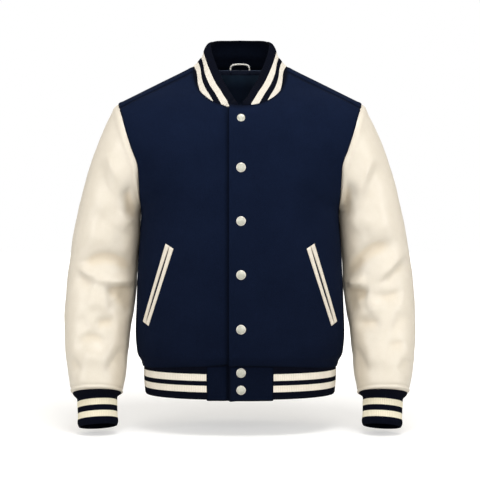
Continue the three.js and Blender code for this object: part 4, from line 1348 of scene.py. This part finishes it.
class Nodes:
    """Short calls for building a material's nodes."""

    def __init__(self, name):
        self.material = bpy.data.materials.new(name)
        self.material.use_nodes = True
        self.tree = self.material.node_tree
        self.shader = self.tree.nodes["Principled BSDF"]
        self.object = self.add("ShaderNodeTexCoord").outputs["Object"]
        self.uv = self.add("ShaderNodeUVMap", uv_map="cloth").outputs["UV"]

    def add(self, kind, **values):
        node = self.tree.nodes.new(kind)
        for key, value in values.items():
            setattr(node, key, value)
        return node

    def join(self, output, target):
        self.tree.links.new(output, target)

    def noise(self, scale, detail=4.0, roughness=0.5, at=None):
        node = self.add("ShaderNodeTexNoise")
        self.join(at or self.object, node.inputs["Vector"])
        node.inputs["Scale"].default_value = scale
        node.inputs["Detail"].default_value = detail
        node.inputs["Roughness"].default_value = roughness
        return node.outputs["Fac"]

    def voronoi(self, scale, feature="F1", at=None):
        node = self.add("ShaderNodeTexVoronoi", feature=feature)
        self.join(at or self.object, node.inputs["Vector"])
        node.inputs["Scale"].default_value = scale
        return node.outputs["Distance"]

    def maths(self, operation, a, b=0.0, clamp=False):
        node = self.add("ShaderNodeMath", operation=operation, use_clamp=clamp)
        for socket, value in zip(node.inputs, (a, b)):
            if isinstance(value, (int, float)):
                socket.default_value = value
            else:
                self.join(value, socket)
        return node.outputs[0]

    def ramp(self, fac, stops):
        node = self.add("ShaderNodeValToRGB")
        self.join(fac, node.inputs["Fac"])
        band = node.color_ramp
        while len(band.elements) < len(stops):
            band.elements.new(0.5)
        for element, (place, colour) in zip(band.elements, stops):
            element.position = place
            element.color = (*colour, 1)
        return node.outputs["Color"]

    def mix(self, fac, a, b, blend="MIX"):
        node = self.add("ShaderNodeMix", data_type="RGBA", blend_type=blend)
        for socket, value in ((node.inputs[0], fac), (node.inputs[6], a), (node.inputs[7], b)):
            if isinstance(value, (int, float)):
                socket.default_value = value
            elif isinstance(value, tuple):
                socket.default_value = (*value, 1)
            else:
                self.join(value, socket)
        return node.outputs[2]

    def bump(self, height, strength, distance, normal=None):
        node = self.add("ShaderNodeBump")
        self.join(height, node.inputs["Height"])
        node.inputs["Strength"].default_value = strength
        node.inputs["Distance"].default_value = distance
        if normal is not None:
            self.join(normal, node.inputs["Normal"])
        return node.outputs["Normal"]

    def tones(self, fac, dark, pale, low=0.3, high=0.7):
        """From a dark tone to a pale one, both as seen on screen."""
        return self.ramp(fac, [(low, srgb(*dark)), (high, srgb(*pale))])

    def separate(self, vector):
        node = self.add("ShaderNodeSeparateXYZ")
        self.join(vector, node.inputs[0])
        return node.outputs

    def map_range(self, value, ends, kind="LINEAR"):
        node = self.add("ShaderNodeMapRange", interpolation_type=kind)
        self.join(value, node.inputs["Value"])
        for name, end in zip(("From Min", "From Max", "To Min", "To Max"), ends):
            node.inputs[name].default_value = end
        return node.outputs["Result"]

    def painted_shade(self):
        return self.add("ShaderNodeAttribute", attribute_name="painted_shade").outputs["Fac"]

    def finish(self, colour, normal, **values):
        self.join(colour, self.shader.inputs["Base Color"])
        self.join(normal, self.shader.inputs["Normal"])
        for key, value in values.items():
            self.shader.inputs[key.replace("_", " ")].default_value = value
        return self.material


def srgb(red, green, blue):
    """A colour given as the 0 to 255 values seen on screen, as light."""
    def linear(value):
        value = value / 255
        return value / 12.92 if value <= 0.04045 else ((value + 0.055) / 1.055) ** 2.4

    return tuple(linear(value) for value in (red, green, blue))


def scaled(colour, factor):
    return [min(255, channel * factor) for channel in colour]


# Between two heights in metres, the factors from one of which to the other a tone goes
# Painted light on the wool: darker towards the hem and paler towards the shoulders
WOOL_PAINTED_LIGHT = (-0.6, -0.08, 0.78, 1.25)
# Painted highlight on the satin, just under the neck tape
SATIN_HIGHLIGHT_HEIGHTS = (-0.034, -0.012, 0.0, 0.8)
# How much darker the painted shade makes the wool
PAINTED_SHADE_DARKER = 0.6


def wool_material():
    """Felted wool with painted light, paler towards the shoulders and darker towards the hem, and painted
    shade along its seams and beside the left front's edge.
    """
    nodes = Nodes("wool")
    tone = nodes.tones(nodes.noise(14, 3), (7, 15, 33), (11, 20, 40))
    lint = nodes.tones(nodes.noise(900, 6, 0.7), (4, 9, 21), (25, 37, 66), 0.35, 0.75)
    # Painted light: the wool is paler up high and darker low, as light from above would make it
    painted_light = nodes.map_range(nodes.separate(nodes.object)["Z"], WOOL_PAINTED_LIGHT)
    # Painted shade: darker along the seams and beside the left front's edge
    dim = nodes.maths("SUBTRACT", 1.0, nodes.maths("MULTIPLY", nodes.painted_shade(), PAINTED_SHADE_DARKER))
    dim = nodes.maths("MULTIPLY", dim, painted_light)
    grey = nodes.add("ShaderNodeCombineColor")
    for channel in ("Red", "Green", "Blue"):
        nodes.join(dim, grey.inputs[channel])
    colour = nodes.mix(1.0, nodes.mix(0.35, tone, lint), grey.outputs["Color"], "MULTIPLY")
    felt = nodes.maths("ADD", nodes.noise(420, 5, 0.65), nodes.maths("MULTIPLY", nodes.noise(1600, 3), 0.6))
    nodes.shader.inputs["Sheen Tint"].default_value = (*srgb(120, 140, 190), 1)
    return nodes.finish(colour, nodes.bump(felt, 0.55, 0.0007), Roughness=0.92, Sheen_Weight=0.02,
                        Sheen_Roughness=0.5, Specular_IOR_Level=0.04)


# The tint of the painted shade in the creases and on the side towards the body
CREASE_SHADE_TINT = (1.0, 0.945, 0.86)


def leather_material():
    """Fine-grained leather with a soft gloss, and painted warm shade in its creases and on the side towards
    the body.
    """
    nodes = Nodes("sleeve_leather")
    tone = nodes.tones(nodes.noise(9, 4), (212, 205, 191), (217, 210, 197))
    shade = nodes.tones(nodes.noise(70, 4), (208, 199, 185), (219, 212, 200))
    grain = nodes.voronoi(520, "DISTANCE_TO_EDGE")
    dark = nodes.tones(grain, (232, 224, 210), (255, 255, 255), 0.0, 0.08)
    colour = nodes.mix(0.3, nodes.mix(0.25, tone, shade), dark, "MULTIPLY")
    # Painted shade: creases and the side towards the body a little darker and warmer
    colour = nodes.mix(nodes.painted_shade(), colour, CREASE_SHADE_TINT, "MULTIPLY")
    pebble = nodes.maths("MINIMUM", nodes.maths("MULTIPLY", grain, 4.0), 0.6)
    height = nodes.maths("ADD", pebble, nodes.maths("MULTIPLY", nodes.voronoi(900), 0.2))
    soft = nodes.bump(nodes.noise(40, 2), 0.12, 0.002)
    gloss = nodes.ramp(nodes.noise(25, 3), [(0.3, (0.33, 0.33, 0.33)), (0.7, (0.4, 0.4, 0.4))])
    nodes.join(gloss, nodes.shader.inputs["Roughness"])
    return nodes.finish(colour, nodes.bump(height, 0.16, 0.0003, soft), Specular_IOR_Level=0.5)


def suede_material():
    nodes = Nodes("leather_inside")
    tone = nodes.tones(nodes.noise(300, 5, 0.7), (196, 182, 158), (222, 210, 188))
    nap = nodes.bump(nodes.noise(1200, 4), 0.5, 0.0005)
    return nodes.finish(tone, nap, Roughness=0.95, Specular_IOR_Level=0.2)


STITCH_ROW = 0.0021
KNIT_NAVY = (6, 9, 20)
KNIT_CREAM = (233, 225, 208)


def rib_material(name, stripes, colour=KNIT_NAVY, cream=KNIT_CREAM):
    """Rib knit whose cream stripes are bands of the second UV value, in mm."""
    nodes = Nodes(name)
    place = nodes.separate(nodes.uv)
    across, along = place["X"], place["Y"]
    wobble = nodes.maths("MULTIPLY", nodes.maths("SUBTRACT", nodes.noise(700, 2), 0.5), 0.0006)
    edge = nodes.maths("ADD", along, wobble)
    yarn = nodes.noise(1300, 4, 0.6)
    tone = nodes.tones(yarn, scaled(colour, 0.75), scaled(colour, 1.35), 0.3, 0.75)
    pale = nodes.tones(yarn, scaled(cream, 0.93), scaled(cream, 1.03), 0.3, 0.75)
    for low, high in stripes:
        above = nodes.maths("GREATER_THAN", edge, low * MM)
        below = nodes.maths("LESS_THAN", edge, high * MM)
        tone = nodes.mix(nodes.maths("MULTIPLY", above, below), tone, pale)
    rib = nodes.maths("SINE", nodes.maths("MULTIPLY", across, 2 * math.pi / (RIB_PITCH * MM)))
    crest = nodes.maths("ADD", nodes.maths("MULTIPLY", rib, 0.5), 0.5)
    # Painted shade: the valleys between the ribs are darker
    valley = nodes.ramp(crest, [(0.0, (0.86, 0.86, 0.86)), (0.5, (1, 1, 1))])
    lean = nodes.maths("MULTIPLY", nodes.maths("ABSOLUTE", rib), 2.2)
    row = nodes.maths("ADD", nodes.maths("MULTIPLY", along, 2 * math.pi / STITCH_ROW), lean)
    loops = nodes.maths("MULTIPLY", nodes.maths("SINE", row), 0.5)
    height = nodes.maths("ADD", loops, nodes.maths("MULTIPLY", yarn, 0.5))
    return nodes.finish(nodes.mix(1.0, tone, valley, "MULTIPLY"), nodes.bump(height, 0.4, 0.0004),
                        Roughness=0.9, Sheen_Weight=0.01, Sheen_Roughness=0.5, Specular_IOR_Level=0.04)


def satin_material():
    """Satin with a painted highlight, uneven, just under the neck tape."""
    nodes = Nodes("satin_lining")
    tone = nodes.tones(nodes.noise(20, 3), (13, 25, 46), (20, 35, 60))
    # Painted highlight: a paler band just under the tape
    painted_highlight = nodes.map_range(nodes.separate(nodes.object)["Z"], SATIN_HIGHLIGHT_HEIGHTS, "SMOOTHSTEP")
    tone = nodes.mix(nodes.maths("MULTIPLY", painted_highlight, nodes.noise(45, 2)), tone, srgb(52, 78, 104))
    weave = nodes.add("ShaderNodeTexWave", wave_type="BANDS", bands_direction="DIAGONAL")
    weave.inputs["Scale"].default_value = 700
    nodes.join(nodes.object, weave.inputs["Vector"])
    ripple = nodes.bump(nodes.noise(30, 2), 0.3, 0.003)
    normal = nodes.bump(weave.outputs["Fac"], 0.12, 0.0001, ripple)
    return nodes.finish(tone, normal, Roughness=0.4, Specular_IOR_Level=0.5)


TAPE_WARP = 0.0012
TAPE_WEFT = 0.0009


def tape_material():
    nodes = Nodes("neck_tape")
    place = nodes.separate(nodes.uv)
    warp = nodes.maths("SINE", nodes.maths("MULTIPLY", place["X"], 2 * math.pi / TAPE_WARP))
    weft = nodes.maths("SINE", nodes.maths("MULTIPLY", place["Y"], 2 * math.pi / TAPE_WEFT))
    weave = nodes.maths("MULTIPLY", warp, weft)
    raised = nodes.maths("ADD", nodes.maths("MULTIPLY", weave, 0.5), 0.5)
    tone = nodes.tones(raised, (14, 21, 40), (34, 45, 74), 0.2, 0.9)
    return nodes.finish(tone, nodes.bump(weave, 0.4, 0.0003), Roughness=0.8, Specular_IOR_Level=0.3)


def cord_material():
    nodes = Nodes("hanger_cord")
    tone = nodes.tones(nodes.noise(900, 4), (236, 233, 226), (250, 249, 245))
    return nodes.finish(tone, nodes.bump(nodes.noise(1500, 3), 0.4, 0.0003), Roughness=0.7)


def snap_material(name, dark, pale):
    nodes = Nodes(name)
    tone = nodes.tones(nodes.noise(160, 4), dark, pale)
    brushed = nodes.bump(nodes.noise(2200, 2), 0.08, 0.0002)
    return nodes.finish(tone, brushed, Roughness=0.34, Metallic=0.25, Coat_Weight=0.3, Coat_Roughness=0.2)


# Pieces

wool = wool_material()
leather = leather_material()
suede = suede_material()
satin = satin_material()
collar_knit = rib_material("rib_knit_collar", [(16, 29), (40, 52.5)], cream=(219, 213, 202))
# The inside of the rib knit: the same navy, painted darker as shade inside the collar, cuffs and hem
inside_knit_shaded = rib_material("rib_knit_inside_shaded", [], colour=(3, 7, 18))
hem_knit = rib_material("rib_knit_hem", [(14, 26.5), (35.5, 48.5)], cream=(236, 229, 215))
cuff_knit = rib_material("rib_knit_cuff", [(16.5, 28.5), (39.5, 51.5)], cream=(233, 226, 203))


def dress(piece, node):
    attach(piece, "root")
    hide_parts(node)
    return piece


for left in (True, False):
    side = side_name(left)
    front = build_front(left, [wool])
    dress(front, f"front_{side}")
    sleeve = build_sleeve(left, [leather, suede])
    dress(sleeve, f"sleeve_{side}")
    cuff = build_cuff(left, [cuff_knit, inside_knit_shaded])
    dress(cuff, f"cuff_{side}")
    tab = build_tab(left, [wool])
    dress(tab, f"hem_tab_{side}")
    for place in ("front", "rear"):
        welt = build_welt(left, place == "front", [leather])
        dress(welt, f"pocket_welt_{side}_{place}")
dress(build_back([wool]), "back")
dress(build_collar([collar_knit, inside_knit_shaded]), "collar")
dress(build_hem_rib([hem_knit, inside_knit_shaded]), "hem_rib")
dress(build_lining([satin]), "back_lining")
tape = build_tape([tape_material()])
dress(tape, "neck_tape")
dress(build_loop([cord_material()]), "hanger_loop")
snap_finishes = [
    snap_material("snap_cap", (174, 174, 162), (194, 194, 182)),
    snap_material("snap_rim", (206, 203, 194), (224, 221, 213)),
]
for number, height in enumerate(SNAP_HEIGHTS, start=1):
    dress(build_snap(number, height, snap_finishes), f"snap_{number}")


# Camera, floor and light

LENS = 82.5
FLOOR = -0.723
FLOOR_HALF = 30.0
FLOOR_FADE = (0.9, 2.4)
FLOOR_GLOW = 0.42
FLOOR_TONE = 0.7
LIGHT_TARGET = (0, 0, -0.35)
AMBIENT = 0.57
AMBIENT_COLOUR = (1.0, 0.95, 0.86)
KEY = 35.0
FILL = 17.0
SIDE_FILL = 23.0
BACK_FILL = 14.0


def build_camera():
    data = bpy.data.cameras.new("camera")
    data.lens = LENS
    data.sensor_width = 36
    camera = bpy.data.objects.new("camera", data)
    camera.location = (0, -VIEW_DISTANCE * MM, VIEW_HEIGHT * MM)
    camera.rotation_euler = (math.radians(90), 0, 0)
    bpy.context.scene.collection.objects.link(camera)
    bpy.context.scene.camera = camera


def build_floor():
    """A pale floor that is brighter far from the jacket, so that it runs into the background."""
    mesh = bpy.data.meshes.new("floor")
    corners = [(-1, -1), (1, -1), (1, 1), (-1, 1)]
    mesh.from_pydata([(FLOOR_HALF * x, FLOOR_HALF * y, FLOOR) for x, y in corners], [], [(0, 1, 2, 3)])
    floor = bpy.data.objects.new("floor", mesh)
    nodes = Nodes("floor")
    far = nodes.add("ShaderNodeVectorMath", operation="LENGTH")
    nodes.join(nodes.object, far.inputs[0])
    glow = nodes.map_range(far.outputs["Value"], (*FLOOR_FADE, FLOOR_GLOW, 1.0), "SMOOTHSTEP")
    seen = nodes.add("ShaderNodeLightPath").outputs["Is Camera Ray"]
    settings = nodes.shader.inputs
    nodes.join(nodes.maths("MULTIPLY", glow, seen), settings["Emission Strength"])
    settings["Emission Color"].default_value = (1, 1, 1, 1)
    settings["Base Color"].default_value = (FLOOR_TONE, FLOOR_TONE, FLOOR_TONE, 1)
    settings["Roughness"].default_value = 0.9
    settings["Specular IOR Level"].default_value = 0.0
    mesh.materials.append(nodes.material)
    bpy.context.scene.collection.objects.link(floor)


def build_area(name, place, size, energy):
    data = bpy.data.lights.new(name, "AREA")
    data.shape = "RECTANGLE"
    data.size, data.size_y = size
    data.energy = energy
    light = bpy.data.objects.new(name, data)
    light.location = place
    light.visible_camera = False
    direction = np.array(LIGHT_TARGET) - np.array(place)
    light.rotation_euler = (
        math.acos(-direction[2] / np.linalg.norm(direction)),
        0,
        math.atan2(direction[1], direction[0]) - math.pi / 2,
    )
    bpy.context.scene.collection.objects.link(light)


def build_light():
    """White behind the jacket, a dimmer soft light all round it, and a large lamp high in front."""
    world = bpy.data.worlds.new("world")
    world.use_nodes = True
    tree = world.node_tree
    background = tree.nodes["Background"]
    path = tree.nodes.new("ShaderNodeLightPath")
    strength = tree.nodes.new("ShaderNodeMapRange")
    strength.inputs["To Min"].default_value = AMBIENT
    strength.inputs["To Max"].default_value = 1.0
    tree.links.new(path.outputs["Is Camera Ray"], strength.inputs["Value"])
    tree.links.new(strength.outputs["Result"], background.inputs["Strength"])
    colour = tree.nodes.new("ShaderNodeMix")
    colour.data_type = "RGBA"
    colour.inputs[6].default_value = (*AMBIENT_COLOUR, 1)
    colour.inputs[7].default_value = (1, 1, 1, 1)
    tree.links.new(path.outputs["Is Camera Ray"], colour.inputs[0])
    tree.links.new(colour.outputs[2], background.inputs["Color"])
    bpy.context.scene.world = world
    build_area("key", (0.25, -1.05, 2.1), (1.2, 0.8), KEY)
    build_area("fill", (0, -2.9, 0.4), (2.4, 1.2), FILL)
    build_area("back_fill", (0, 2.9, 0.4), (2.4, 1.2), BACK_FILL)
    for side in (-1, 1):
        build_area("side_fill", (side * 2.2, -1.9, 0.2), (1.2, 1.4), SIDE_FILL)
    bpy.context.scene.view_settings.view_transform = "Standard"
    bpy.context.scene.view_settings.look = "None"


build_camera()
build_floor()
build_light()
